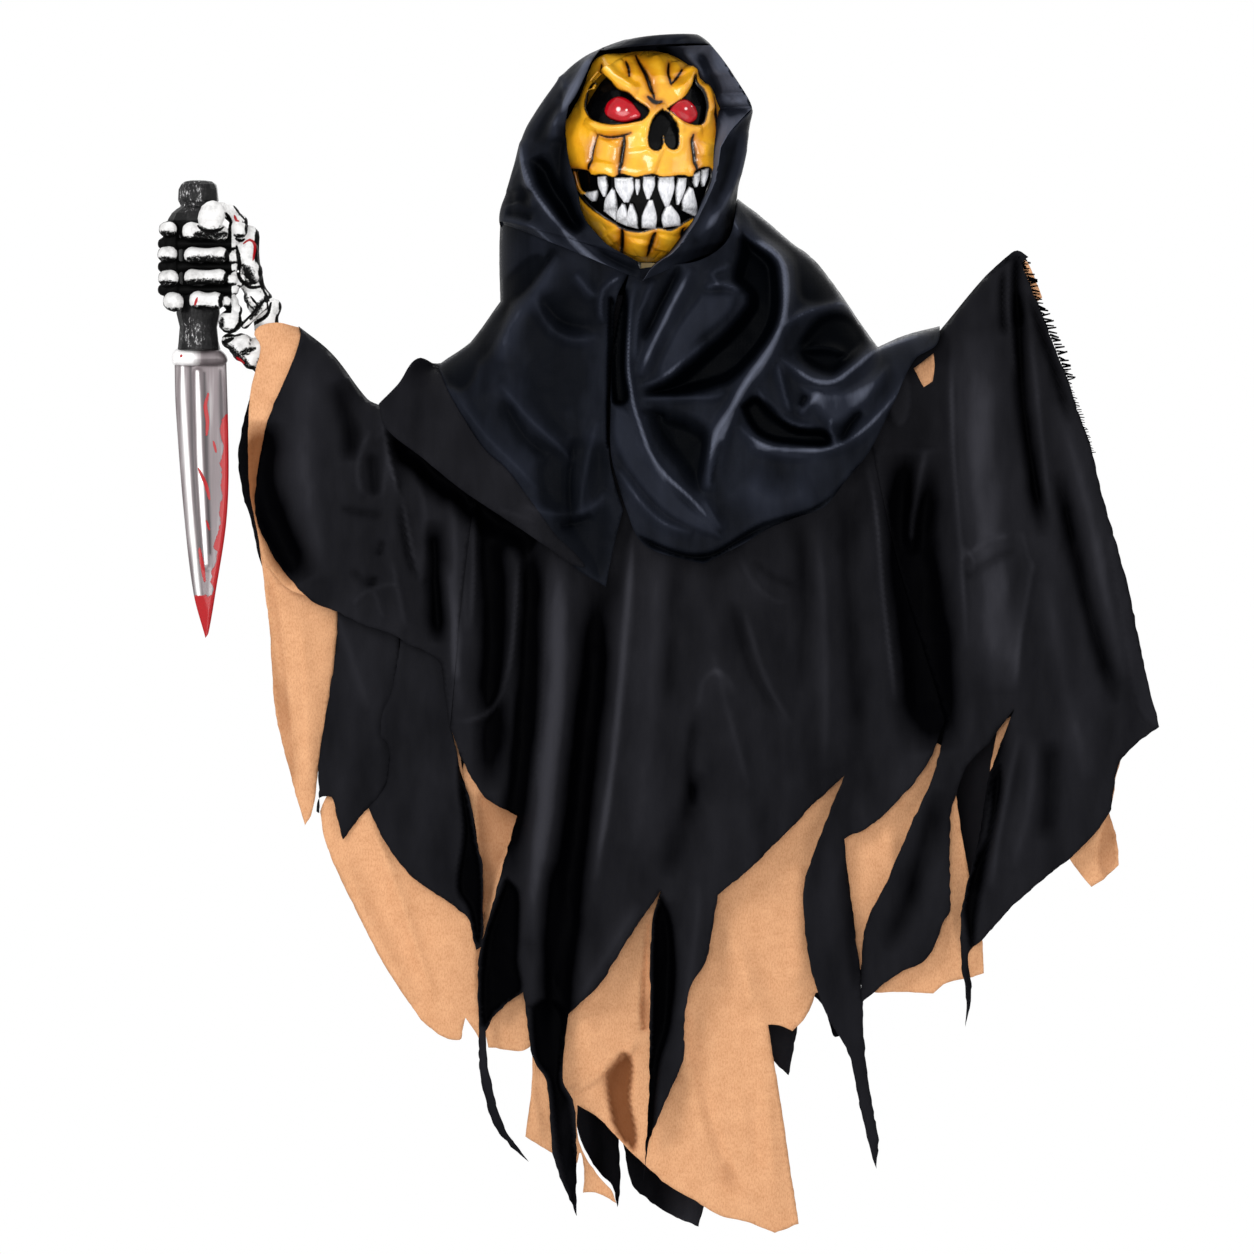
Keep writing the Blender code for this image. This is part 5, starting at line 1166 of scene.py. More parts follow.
socket_px = [
    px(602, 78, 612, 87, 619, 95, 630, 100, 639, 106, 648, 113, 646, 119, 639, 124, 622, 127, 606, 126, 593,
        121, 587, 113, 587, 102, 591, 89, 596, 83),
    px(668, 112, 678, 105, 685, 100, 690, 91, 692, 81, 698, 86, 703, 94, 706, 106, 705, 119, 701, 126, 690,
        126, 678, 121),
]
nose_px = px(
    662, 114, 654, 122, 650, 135, 649, 145, 652, 152, 658, 153, 662, 147, 663, 138, 666, 146, 670, 151,
    676, 151, 678, 146, 677, 136, 673, 126, 668, 117
)
mouth_px = px(
    572, 171, 580, 172, 588, 174, 591, 178, 603, 178, 614, 181, 620, 178, 636, 181, 652, 178, 662, 181,
    682, 179, 693, 180, 696, 174, 709, 170, 711, 178, 707, 190, 700, 212, 685, 223, 671, 231, 658, 229,
    642, 233, 626, 231, 614, 224, 601, 216, 591, 208, 582, 198, 576, 190
)
face_ridges = [
    (px(605, 70, 616, 83, 630, 93, 647, 101), 7, 10, 2.4),
    (px(683, 70, 690, 76, 685, 88, 675, 96, 664, 99), 5.5, 8, 2.4),
    (px(586, 122, 600, 131, 620, 133, 637, 129, 648, 121), 4.5, 6, 2.4),
    (px(672, 123, 683, 131, 695, 134, 709, 130), 4.5, 4.5, 1.8),
    (px(704, 84, 710, 100, 711, 122), 4, 3, 1.8), (px(612, 145, 606, 160, 604, 172), 11, 3.5, 2.0),
    (px(646, 150, 650, 166, 668, 170), 17, 4.5, 2.0), (px(706, 145, 703, 160), 6, 2.5, 2.0),
    (px(666, 108, 655, 116, 646, 132, 646, 150), 4, 3, 1.8),
    (px(669, 112, 678, 128, 682, 146), 4, 2.5, 1.8), (px(622, 58, 632, 76, 643, 92), 8, 3, 1.8),
    (px(655, 55, 660, 76, 660, 95), 9, 3.5, 1.8), (px(677, 62, 678, 78), 6, 2.5, 1.8),
    (px(606, 232, 612, 246), 10, 3, 2.0), (px(638, 240, 634, 256), 12, 3.5, 2.0),
    (px(667, 236, 664, 252), 12, 3.5, 2.0),
]
face_grooves = [
    (px(596, 133, 591, 152, 589, 173), 2.6, -5, 1.6), (px(624, 140, 622, 156, 619, 178), 2.6, -5, 1.6),
    (px(692, 139, 695, 158, 697, 178), 2.4, -4, 1.6),
    (px(636, 57, 645, 74, 651, 90, 655, 104), 2.6, -5, 1.6), (px(622, 58, 628, 70, 630, 84), 2, -2.5, 1.6),
    (px(670, 60, 668, 74, 672, 88), 2, -2.5, 1.6), (px(622, 231, 622, 245, 621, 258), 2.4, -4, 1.6),
    (px(655, 234, 651, 246, 646, 257), 2.4, -4, 1.6), (px(684, 229, 682, 238, 677, 246), 2.2, -3, 1.6),
    (px(595, 137, 607, 141, 622, 140, 634, 136), 1.8, -3, 1.6),
]
face_ink = [
    (px(596, 137, 592, 152, 589, 174), 2.0), (px(624, 139, 622, 156, 619, 180), 2.2),
    (px(692, 138, 695, 158, 697, 178), 1.9), (px(636, 57, 645, 74, 651, 90, 655, 105), 2.0),
    (px(626, 64, 629, 72, 630, 84), 1.5), (px(669, 64, 668, 76, 672, 90), 1.5),
    (px(622, 231, 622, 245, 621, 259), 2.0), (px(655, 234, 651, 246, 646, 258), 2.0),
    (px(684, 229, 682, 238, 677, 247), 1.7), (px(598, 137, 608, 140, 622, 139, 634, 136), 1.1),
    (px(566, 170, 572, 180, 576, 190), 5), (px(648, 100, 656, 106, 664, 104), 2.4),
    (px(604, 90, 616, 98, 634, 104), 1.2), (px(602, 66, 602, 74, 608, 86), 1.1),
    (px(581, 225, 600, 245, 622, 259), 1.8), (px(672, 86, 678, 78, 682, 70), 1.3),
    (px(712, 100, 717, 124, 718, 150), 1.8),
]
upper_teeth_px = [
    px(596, 181, 607, 180, 604, 200), px(613, 182, 634, 182, 626, 206), px(634, 183, 641, 184, 637, 199),
    px(642, 181, 656, 181, 648, 203), px(657, 182, 675, 181, 667, 210), px(677, 182, 688, 182, 678, 208),
    px(692, 179, 701, 175, 697, 190), px(701, 174, 710, 171, 704, 189),
]
lower_teeth_px = [
    px(581, 191, 597, 189, 593, 204), px(602, 211, 616, 222, 613, 192), px(615, 222, 629, 228, 623, 207),
    px(626, 227, 639, 230, 631, 207), px(640, 229, 657, 230, 651, 203), px(662, 229, 682, 226, 669, 208),
    px(681, 211, 698, 218, 692, 190),
]
eyes_px = [
    px(603, 113, 606, 105, 613, 100, 621, 99, 630, 103, 637, 111, 641, 119, 634, 123, 622, 125, 611, 122,
        605, 118),
    px(669, 114, 673, 107, 680, 101, 688, 101, 695, 106, 699, 115, 697, 122, 690, 126, 681, 124, 674, 119),
]


def make_mask(finishes):
    """The pumpkin face: a carved shell with its openings, ridges and inked grooves."""
    holes = [outline([loop], 1.3) for loop in (*socket_px, nose_px, mouth_px)]
    rim = math.acos(face_rim_depth / face_depth)
    turns = np.linspace(0, math.tau, face_rim_points, endpoint=False)
    disc = np.column_stack((np.cos(turns), np.sin(turns))) * rim
    flat, faces = fill(disc, face_step, [face_angles(hole) for hole in holes])
    pixels = to_px(face_place(flat))
    away = np.hypot(flat[:, 0], flat[:, 1])
    around = np.arctan2(flat[:, 0], np.maximum(np.cos(away), 0.001))
    near = np.min([line_distance(pixels, closed(hole))[0] for hole in holes], axis=0)
    ribs = np.abs(np.cos(around * rib_count / 2)) ** 0.5 - 0.6
    height = folds(pixels, face_ridges) + folds(pixels, face_grooves)
    height += rib_height * ribs * np.clip((away - 1.0) * 4, 0, 1)
    height += lip_height * ridge(near - 4, 3) + 0.35 * MM * waves(pixels, 9, 21)
    height -= cut_depth * np.clip(1 - near / 2.0, 0, 1)
    piece = new_piece("pumpkin_face", face_place(flat, height), faces[:, ::-1], finishes["pumpkin"])
    bold = marks(pixels, [(line, stroke * 1.35) for line, stroke in face_ink])
    soft = marks(pixels, [(line, stroke * 3.6) for line, stroke in face_ink])
    paint(piece, "ink_and_shade", np.maximum(bold, 0.95 * np.clip(1.7 - near / 1.3, 0, 1)))
    # Painted shade: soft brown round the inked grooves and near the openings
    paint(piece, "shade", np.clip(soft + 0.4 * np.clip(1 - near / 6, 0, 1), 0, 1) * 0.8)
    merged(piece)
    wall(piece, face_shell, -1.0)
    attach(piece, "head")
    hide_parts("pumpkin_mask")


def puffed(name, loops, lift, tall, reach, material, thickness, step=0.8):
    """Pillowed shapes on the face over outlines, such as teeth and eye lenses."""
    verts, every, count, rims = [], [], 0, []
    for loop in loops:
        flat, faces = fill(loop, step)
        edge = line_distance(flat, closed(loop))[0]
        verts.append(face_place(face_angles(flat), lift + tall * rounded(edge, reach)))
        every.append(faces[:, ::-1] + count)
        rims.append(np.column_stack((flat, edge)))
        count += len(flat)
    piece = new_piece(name, np.vstack(verts), np.vstack(every), material)
    wall(piece, thickness, -1.0)
    return piece, np.vstack(rims)


def tooth_outline(left, right, tip, lean):
    """The outline of a tooth with bulged sides, from the ends of its root and its tip."""
    root = np.array([0, -2.5 * lean])
    bulge, blunt = 0.17 * (right - left), 0.13 * (right - left)
    return outline([[left + root, left + 0.4 * (tip - left) - bulge], [tip - blunt],
                    [tip + blunt, right + 0.4 * (tip - right) + bulge], [right + root]], 0.9)


def make_teeth(finishes):
    """Single painted teeth behind the mouth's edges."""
    table = (("upper_tooth_row", upper_teeth_px, "upper_teeth", 1, -2.2 * MM),
             ("lower_tooth_row", lower_teeth_px, "lower_teeth", -1, -2.6 * MM))
    for name, corners, node, lean, lift in table:
        loops = [tooth_outline(left, right, tip, lean) for left, right, tip in np.array(corners, float)]
        piece, rims = puffed(name, loops, lift, 3.6 * MM, 5.5, finishes["tooth"], 1.2 * MM)
        gum = np.array([line[0][1] for line in corners])
        centres = np.array([np.mean(line, axis=0) for line in corners])
        owner = np.abs(rims[:, :1] - centres[:, 0]).argmin(axis=1)
        root = np.clip(1 - np.abs(rims[:, 1] - gum[owner]) / 9, 0, 1)
        paint(piece, "ink_and_shade", np.clip(0.6 * root + 0.75 * np.clip(1 - rims[:, 2] / 2.2, 0, 1), 0, 1))
        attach(piece, "head")
        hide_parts(node)


def make_eyes(finishes):
    """Two red eyes with glints, given as a place and a size in pixels."""
    table = (("right", eyes_px[0], [(619, 113, 2.6), (627, 114, 1.3)]),
             ("left", eyes_px[1], [(685, 112, 1.7), (691, 109, 0.9)]))
    for side, corners, glints in table:
        loop = outline([corners], 1.0)
        piece, rims = puffed(f"{side}_eye", [loop], -2.9 * MM, 4.2 * MM, 11, finishes["lens"], 1.0 * MM, 0.7)
        # Darker towards each lens's rim
        paint(piece, "ink_and_shade", np.clip(1 - rims[:, 2] / 2.2, 0, 1) * 0.8)
        # Painted glints: highlight spots painted into the lens colour
        shine = [np.clip(2.2 - 2.2 * np.hypot(rims[:, 0] - x, rims[:, 1] - y) / size, 0, 1)
                 for x, y, size in glints]
        paint(piece, "glint", np.max(shine, axis=0))
        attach(piece, "head")
        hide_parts(f"{side}_eye_lens")


# Rings of the hood: front view row, left and right sides, left and right edges of its opening, how far
# it reaches to the front and the back as shares of the face's width, and where its right inside ends
hood_brim_row = 6
hood_pull = 26 * MM
hood_tuck = 24 * MM
hood_rings = 220
hood_rows_px = [
    (58.6, 624, 656, 599, 709, 0.055, 0.055, 655), (52, 625, 664, 599, 709, 0.12, 0.08, 655),
    (41, 628, 688, 599, 709, 0.32, 0.13, 655), (37.5, 629, 700, 599, 709, 0.52, 0.22, 655),
    (41, 618, 706, 599, 709, 0.59, 0.25, 655), (46.8, 602, 712, 599, 709, 0.62, 0.29, 655),
    (47, 602, 712, 600, 709, 0.62, 0.29, 655), (59, 578, 722, 595, 721, 0.65, 0.33, 668),
    (74, 562, 732, 589, 731, 0.66, 0.36, 684), (95, 546, 746, 580, 745, 0.67, 0.38, 698),
    (109, 537, 753, 571, 752, 0.67, 0.38, 704), (118, 531, 751, 568, 744, 0.67, 0.38, 707),
    (125, 527, 750, 566, 737, 0.67, 0.38, 709), (136, 522, 748, 564, 728, 0.67, 0.38, 710),
    (150, 518, 745, 566, 720, 0.67, 0.38, 710), (165, 514, 742, 569.5, 718, 0.67, 0.38, 709),
    (183, 508, 738, 575, 715, 0.67, 0.38, 706), (200, 504, 737, 579, 708, 0.68, 0.38, 700),
    (212, 501, 735, 581, 702, 0.69, 0.38, 695), (224, 500, 733, 586, 696, 0.70, 0.38, 689),
    (236, 500, 731, 596, 688, 0.72, 0.38, 682), (248, 500, 729, 607, 680, 0.73, 0.38, 674),
    (257, 500, 727, 623, 671, 0.73, 0.38, 666), (264, 500, 725, 637, 660, 0.71, 0.38, 656),
    (272, 502, 722, 640, 650, 0.69, 0.38, 649), (284, 505, 718, 640.5, 643, 0.67, 0.37, 642),
]
hood_folds = [
    (px(522, 139, 528, 173, 542, 202, 563, 230, 582, 252, 605, 271, 632, 282), 4, 18, 1.3),
    (px(534, 158, 549, 192, 566, 219, 586, 242), 9, -22, 2.0),
    (px(598, 49, 578, 88, 560, 122, 552, 150), 7, 13, 1.6),
    (px(576, 120, 560, 150, 562, 190, 576, 226), 7, -9, 1.8),
    (px(530, 190, 520, 206, 512, 212), 8, -7, 1.8), (px(562, 92, 562, 120, 556, 146), 4, -5, 1.6),
    (px(560, 74, 566, 84, 564, 98), 4, 6, 1.5), (px(560, 104, 544, 130, 530, 150), 8, -5, 1.6),
    (px(499, 219, 516, 223, 536, 230, 554, 246, 584, 267, 628, 280), 4, 8, 1.3),
    (px(506, 214, 526, 218, 540, 226), 4, -6, 1.5), (px(510, 190, 512, 206, 520, 214), 6, -5, 1.6),
    (px(530, 168, 528, 190, 540, 216), 4, 4, 1.4),
    (px(746, 132, 737, 173, 722, 204, 706, 228, 690, 248), 7, 11, 1.5),
    (px(737, 140, 728, 172, 718, 200, 704, 224), 4, -5, 1.5),
    (px(742, 176, 732, 206, 724, 236), 5, -4, 1.6), (px(752, 110, 736, 126, 722, 146), 3, 6, 1.2),
    (px(606, 44, 640, 40, 672, 37), 3, 4, 1.4), (px(672, 46, 690, 39, 706, 38), 3, -4, 1.4),
    (px(620, 38, 636, 34, 650, 37), 4, 5, 1.4), (px(640, 274, 612, 262, 590, 246), 4, -5, 1.5),
]
hood_inner_folds = [
    (px(708, 44, 716, 66, 724, 84), 5, 7, 1.4), (px(709, 44, 730, 76, 750, 107), 4, 8, 1.3),
    (px(700, 52, 712, 80, 722, 104), 5, -7, 1.5), (px(752, 110, 732, 100, 722, 96), 4, 6, 1.3),
    (px(750, 112, 734, 112, 716, 118), 6, -6, 1.5), (px(684, 50, 700, 70, 708, 92), 4, 5, 1.4),
]


def make_hood(finishes):
    """The hood: rings of cloth from the hanging eye down to the neck, open round the face."""
    rows = np.array(hood_rows_px)
    steps = np.linspace(0, len(rows) - 1, hood_rings)
    ring = np.column_stack([np.interp(steps, np.arange(len(rows)), rows[:, k]) for k in range(8)])
    soft = [0, 1, 2, 5, 6]
    padded = np.vstack((np.repeat(ring[:1], 4, axis=0), ring, np.repeat(ring[-1:], 4, axis=0)))
    ring[:, soft] = np.array([padded[k:k + 9].mean(axis=0) for k in range(len(ring))])[:, soft]
    brim = int(np.searchsorted(steps, hood_brim_row))
    middle, half = (ring[:, 1] + ring[:, 2]) / 2, (ring[:, 2] - ring[:, 1]) / 2
    start = -math.pi - np.arcsin(np.clip((ring[:, 3] - middle) / half, -1, 1))
    end = math.pi - np.arcsin(np.clip((ring[:, 4] - middle) / half, -1, 1))
    start[:brim], end[:brim] = start[brim], end[brim]
    verts, faces, cuts, fold_light_values, count = [], [], [], [], 0

    def part(turn, rows_used, inward=0.0):
        """One grid of the hood's cloth, over turns round its rings, and how far it is folded inside."""
        nonlocal count
        row, _, _, left_edge, right_edge, ahead, back, inner = (ring[rows_used][:, k:k + 1] for k in range(8))
        centre, wide = middle[rows_used][:, None], half[rows_used][:, None]
        x = centre + wide * np.sin(turn)
        # Beside the opening the cloth droops towards the chin, and its crown slopes to one side
        droop = 0.43 * np.clip((row - 185) / 95, 0, 1) ** 1.3
        out = np.maximum(0, np.maximum(left_edge - x, x - right_edge))
        front = np.clip(1 - np.cos(turn), 0, 1)
        slope = 0.07 * np.clip((75 - row) / 30, 0, 1) * np.clip(-2 * np.cos(turn), 0, 1)
        y = row - droop * out * front + slope * (650 - x)
        reach = (ahead + back) / 2 * face_width
        depth = (back - ahead) / 2 * face_width + reach * np.cos(turn)
        # The left side is pulled forward
        pulled = np.clip(np.minimum((row - 40) / 30, (250 - row) / 90), 0, 1)
        depth = depth - hood_pull * pulled * np.clip(np.sin(turn), 0, 1) ** 2
        depth, inward = np.broadcast_arrays(depth, inward)
        x = x + (inner - x) * inward
        pixels = np.column_stack((x.ravel(), y.ravel()))
        around = np.column_stack((turn.ravel() * 85 + inward.ravel() * 50, y.ravel()))
        pull = np.clip((y - 36) / 16, 0.25, 1)
        facing = np.clip(-np.cos(turn) * 3 + 0.6, 0, 1)
        if inward.any():
            height = folds(pixels, hood_inner_folds).reshape(x.shape)
            tuck = hood_tuck * inward ** 0.8 - height * np.sin(inward * math.pi)
            spots = place(pixels, (depth + tuck).ravel())
            # Painted light: the inside is lighter than its folds alone give, with painted shade towards where
            # it tucks in
            shown = height + 10 * MM - 30 * MM * inward ** 4
        else:
            broad = 2.2 * MM * waves(around * (1, 0.4), 24, 23).reshape(x.shape)
            fine = 0.7 * MM * waves(around, 9, 24).reshape(x.shape)
            height = (folds(pixels, hood_folds).reshape(x.shape) * facing + broad + fine) * pull
            spots = place(pixels, depth.ravel())
            outward = np.column_stack((np.sin(turn).ravel() * 0.35, np.cos(turn).ravel(),
                                       np.zeros(turn.size)))
            spots += outward * height.ravel()[:, None]
            shown = height
        grid = np.arange(x.size).reshape(x.shape) + count
        verts.append(spots)
        corners = grid[:-1, :-1], grid[1:, :-1], grid[1:, 1:], grid[:-1, 1:]
        faces.append(np.column_stack([corner.ravel() for corner in corners]))
        cuts.append(np.column_stack((around[:, 0] * metres_per_px, np.full(x.size, 0.2),
                                     -around[:, 1] * metres_per_px)))
        fold_light_values.append(np.clip(0.5 + shown / hood_fold_light_reach, 0, 1).ravel())
        count += x.size

    part(start[:, None] + (end - start)[:, None] * np.linspace(0, 1, 220), slice(None))
    crown = np.linspace(end[brim], start[brim] + math.tau, 90)
    part(np.repeat(crown[None], brim + 1, axis=0), slice(0, brim + 1))
    part(np.repeat(end[brim:, None], 22, axis=1), slice(brim, None), np.linspace(0, 1, 22)[None])
    piece = new_piece("hood_cloth", np.vstack(verts), np.vstack(faces), finishes["satin"])
    paint(piece, "cut", np.vstack(cuts))
    paint(piece, "fold_light_and_shade", np.concatenate(fold_light_values))
    merged(piece, 0.05 * MM)
    wall(piece, robe_thickness)
    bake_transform(piece)
    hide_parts("hood")


# Hand and knife

hand_y = -12 * MM


def beads(shape, spots, radii, squash=1.0):
    """A bone as a chain of overlapping balls along places in pixels and millimetres of depth."""
    spots = np.array(spots, float)
    for first, second, near, far in zip(spots, spots[1:], radii, radii[1:]):
        count = max(2, int(np.linalg.norm((second - first)[:2]) / 1.6))
        for share in np.linspace(0, 1, count):
            spot_px = first + (second - first) * share
            waist = 1 - 0.16 * math.sin(math.pi * share)
            radius = (near + (far - near) * share) * waist * metres_per_px
            centre = Vector(place(spot_px[None, :2], spot_px[2] * MM)[0])
            where = Matrix.Translation(centre) @ Matrix.Diagonal((radius, radius * squash, radius, 1))
            bmesh.ops.create_icosphere(shape, subdivisions=2, radius=1, matrix=where)


# Fingers: ends and radius of the tip's bone, then ends and radius of the next
finger_rows_px = [
    ((166, 229), (169, 229), 8.0, (191, 231), (219, 233), 9.6),
    ((165, 254), (169, 254), 8.4, (192, 255), (220, 255), 8.6),
    ((166, 278), (170, 278), 8.8, (192, 277), (219, 277), 8.5),
    ((172, 301), (174, 302), 10.0, (198, 300), (215, 301), 9.6),
]

# Ink, smudges that are partly dry-brushed black and partly painted shade under the bones, and red paint on
# the hand: a line and its width
hand_ink_px = [
    (px(180, 219, 180, 240), 3), (px(180, 244, 180, 264), 3), (px(180.5, 267, 181, 288), 3),
    (px(187, 290, 187, 311), 3), (px(229, 248, 226.5, 256, 229, 266), 3),
    (px(228.5, 270, 225.5, 279, 228, 288), 3), (px(223, 292, 220.5, 301, 222, 311), 3),
    (px(198, 226, 206, 232, 218, 231, 226, 225), 2.2), (px(226, 213, 230, 222, 227, 229), 2.6),
    (px(235, 238, 241, 240, 246, 236), 2.0), (px(236, 246, 239, 262, 238, 274, 242, 284), 2.6),
    (px(238, 276, 248, 286, 258, 286, 264, 284), 2.2),
    (px(239, 288, 243, 300, 243, 314, 234, 330, 219, 336), 2.4), (px(264, 300, 252, 312, 238, 328), 1.6),
    (px(270, 302, 266, 314, 254, 322, 240, 330), 2.4), (px(262, 288, 268, 300), 1.6),
    (px(219, 336, 236, 334, 256, 328), 2.2), (px(222, 342, 232, 338), 3.0),
    (px(228, 354, 240, 362, 250, 368), 2.4), (px(250, 296, 258, 306), 1.4), (px(244, 270, 250, 280), 2.6),
    (px(216, 306, 217, 334), 1.8), (px(233, 205, 240, 214, 247, 222), 1.4),
]
hand_shade_smudge_px = [
    (px(196, 234, 212, 236, 229, 234), 8), (px(188, 259, 205, 259.5, 228, 259), 6.5),
    (px(186, 282, 205, 282.5, 228, 282), 6.5), (px(156, 233, 178, 234), 5), (px(156, 259, 178, 259.5), 5),
    (px(156, 283, 178, 283), 5), (px(243, 266, 252, 280), 10), (px(240, 290, 246, 306), 8),
    (px(262, 300, 250, 318), 6), (px(222, 342, 236, 356, 250, 368), 9), (px(240, 352, 254, 348), 5),
    (px(222, 318, 220, 330), 5),
]
hand_blood_px = [
    (px(197.5, 298, 195, 305, 193, 308), 1.5), (px(243, 243, 249, 239, 254, 244, 253, 256, 252, 263), 1.5),
    (px(234, 215, 236, 220, 241, 221), 1.4), (px(236, 357, 241, 361, 245, 364), 1.6),
]


def fused_bones(name, shape, material):
    """A piece with one smooth skin over overlapping balls."""
    mesh = bpy.data.meshes.new("bones")
    shape.to_mesh(mesh)
    shape.free()
    draft = linked("bones", mesh)
    skin = draft.modifiers.new("Skin", "REMESH")
    skin.mode = "VOXEL"
    skin.voxel_size = 0.85 * MM
    smooth = draft.modifiers.new("Smooth", "SMOOTH")
    smooth.iterations = 2
    fused = evaluated(draft)
    fused.name = name
    fused.materials.clear()
    fused.materials.append(material)
    fused.shade_smooth()
    return linked(name, fused)


def make_hand(finishes):
    """The skeleton fist: rows of finger bones in front of a core painted dark as shade, a thumb, a palm and a
    wrist.
    """
    shape = bmesh.new()
    for start, end, tip, near, far, thick in finger_rows_px:
        beads(shape, [(*start, -33), (*end, -35)], [tip, tip])
        beads(shape, [(*near, -37), (*far, -36)], [thick, thick])
    # A core behind the finger rows, turned dark by the painted shade below
    for row in (243, 266, 289):
        beads(shape, [(163, row, -25), (232, row, -25)], [6.5, 6.5])
    beads(shape, [(170, 228, -26), (172, 300, -26)], [9, 9])
    beads(shape, [(221, 208, -27), (230, 212, -24), (238, 222, -20)], [7, 8.5, 9.5])
    beads(shape, [(236, 226, -27), (239, 229, -27)], [8.6, 8.6])
    beads(shape, [(231, 232, -26), (231, 242, -24)], [6, 6])
    for row, reach in ((257, 232.5), (279, 231.5), (301, 226)):
        beads(shape, [(reach, row, -32), (reach + 4, row + 1, -24)], [6.4, 8.5])
    beads(shape, [(226, 248, -22), (226, 292, -22)], [6, 6])
    beads(shape, [(213, 214, -46), (211, 218.5, -46)], [13.6, 13.6], 0.55)
    beads(shape, [(246, 250, -20), (250, 272, -20)], [12, 12.5])
    beads(shape, [(246, 236, -12), (250, 280, -12), (258, 300, -9), (264, 326, -5)], [13, 13, 14, 12])
    beads(shape, [(252, 296, -17), (257, 300, -17)], [10, 10])
    beads(shape, [(263, 305, -20), (244, 324, -21)], [4.5, 4.5])
    beads(shape, [(272, 306, -12), (268, 322, -12)], [9, 10])
    beads(shape, [(235, 310, -24), (229.5, 321, -27)], [7, 12.5], 0.9)
    beads(shape, [(228, 340, -18), (240, 345, -18), (256, 350, -12)], [8, 13, 14])
    beads(shape, [(240, 352, -17), (250, 360, -15), (258, 366, -12)], [9, 9, 7])
    piece = fused_bones("hand_bones", shape, finishes["bone"])
    spots, facing = read_vectors(piece.data, "co"), read_vectors(piece.data, "normal")
    pixels = to_px(spots)
    front = spots[:, 1] < 0
    fingers = (pixels[:, 0] < 231) & (pixels[:, 1] < 313) & (pixels[:, 1] > 219) & (spots[:, 1] < hand_y)
    # Painted shade: darker the further back a point of the fingers lies, in the gaps between bones and on the
    # core
    sunken_shade = np.where(fingers, np.clip((spots[:, 1] + 37.5 * MM) / (4 * MM), 0, 1), 0)
    # Painted shade on faces that look downwards
    underside_shade = np.clip(-facing[:, 2] * 1.35 - 0.35, 0, 0.9)
    # Painted shade down the fist's right side
    side = np.where(pixels[:, 0] > 238, np.clip(facing[:, 0] * 2.4 - 1.1, 0, 1), 0)
    # Smudges under the bones, partly dry-brushed black and partly painted shade
    shade_smudge = 0.68 * marks(pixels, hand_shade_smudge_px) * front
    # The stored mark holds the ink lines together with this painted shade
    paint(piece, "ink_and_shade", np.max([marks(pixels, hand_ink_px) * front, sunken_shade, underside_shade, side, shade_smudge], axis=0))
    paint(piece, "blood", marks(pixels, hand_blood_px) * front)
    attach(piece, "right_hand")
    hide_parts("skeleton_hand")


# Column of the grip's axis, its rows with their radii, and its rubbed places
grip_axis_px = 197
grip_px = [
    (179, 8), (180, 14), (183, 18), (188, 20), (199, 20.5), (202, 19), (205, 18), (208, 22), (212, 25.5),
    (219, 28), (226, 26), (240, 21), (300, 21), (312, 22), (326, 19.5), (340, 20.5), (349, 22), (350, 12),
]
grip_worn_px = [
    (px(184, 182, 186, 206), 22), (px(198, 180, 198, 206), 12), (px(190, 318, 196, 346), 26),
]


def make_grip(finishes):
    """The faceted grip: a pommel over a shoulder, and a waist under the fist."""
    rows = np.array(grip_px, float)
    sides = 12
    draw = np.random.default_rng(9)
    ring = []
    for row, radius in rows:
        turn = np.arange(sides) / sides * math.tau + 0.2
        rough = radius * (1 + draw.uniform(-0.035, 0.035, sides))
        x = grip_axis_px + rough * np.cos(turn) - (2.5 if radius > 23 else 0)
        depth = hand_y + np.sin(turn) * rough * 0.88 * metres_per_px
        ring.append(place(np.column_stack((x, np.full(sides, row))), depth))
    verts = np.vstack(ring)
    faces = []
    for low in range(0, (len(rows) - 1) * sides, sides):
        for side in range(sides):
            after = (side + 1) % sides
            faces.append((low + side, low + after, low + sides + after, low + sides + side))
    last = (len(rows) - 1) * sides
    faces += [tuple(range(sides))[::-1], tuple(range(last, last + sides))]
    piece = new_piece("knife_grip", verts, faces, finishes["handle"], False)
    paint(piece, "lightness", np.clip(marks(to_px(verts), grip_worn_px) + 0.2, 0, 1))
    merged(piece)
    soft = piece.modifiers.new("Edges", "BEVEL")
    soft.width = 0.9 * MM
    soft.segments = 2
    soft.limit_method = "ANGLE"
    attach(piece, "right_hand")
    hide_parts("knife_handle")


def thick_plate(name, loop, height, material, step):
    """A closed plate over an outline, as thick at each point as its height function says, both ways."""
    flat, faces = fill(loop, step)
    half = height(flat)
    verts = np.vstack((place(flat, hand_y - half), place(flat, hand_y + half)))
    count = len(flat)
    rim = [(k, (k + 1) % len(loop), (k + 1) % len(loop) + count, k + count) for k in range(len(loop))]
    faces = [tuple(face) for face in faces] + [tuple(face[::-1] + count) for face in faces] + rim
    piece = new_piece(name, verts, faces, material)
    merged(piece, 0.001 * MM)
    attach(piece, "right_hand")
    return piece, to_px(verts)


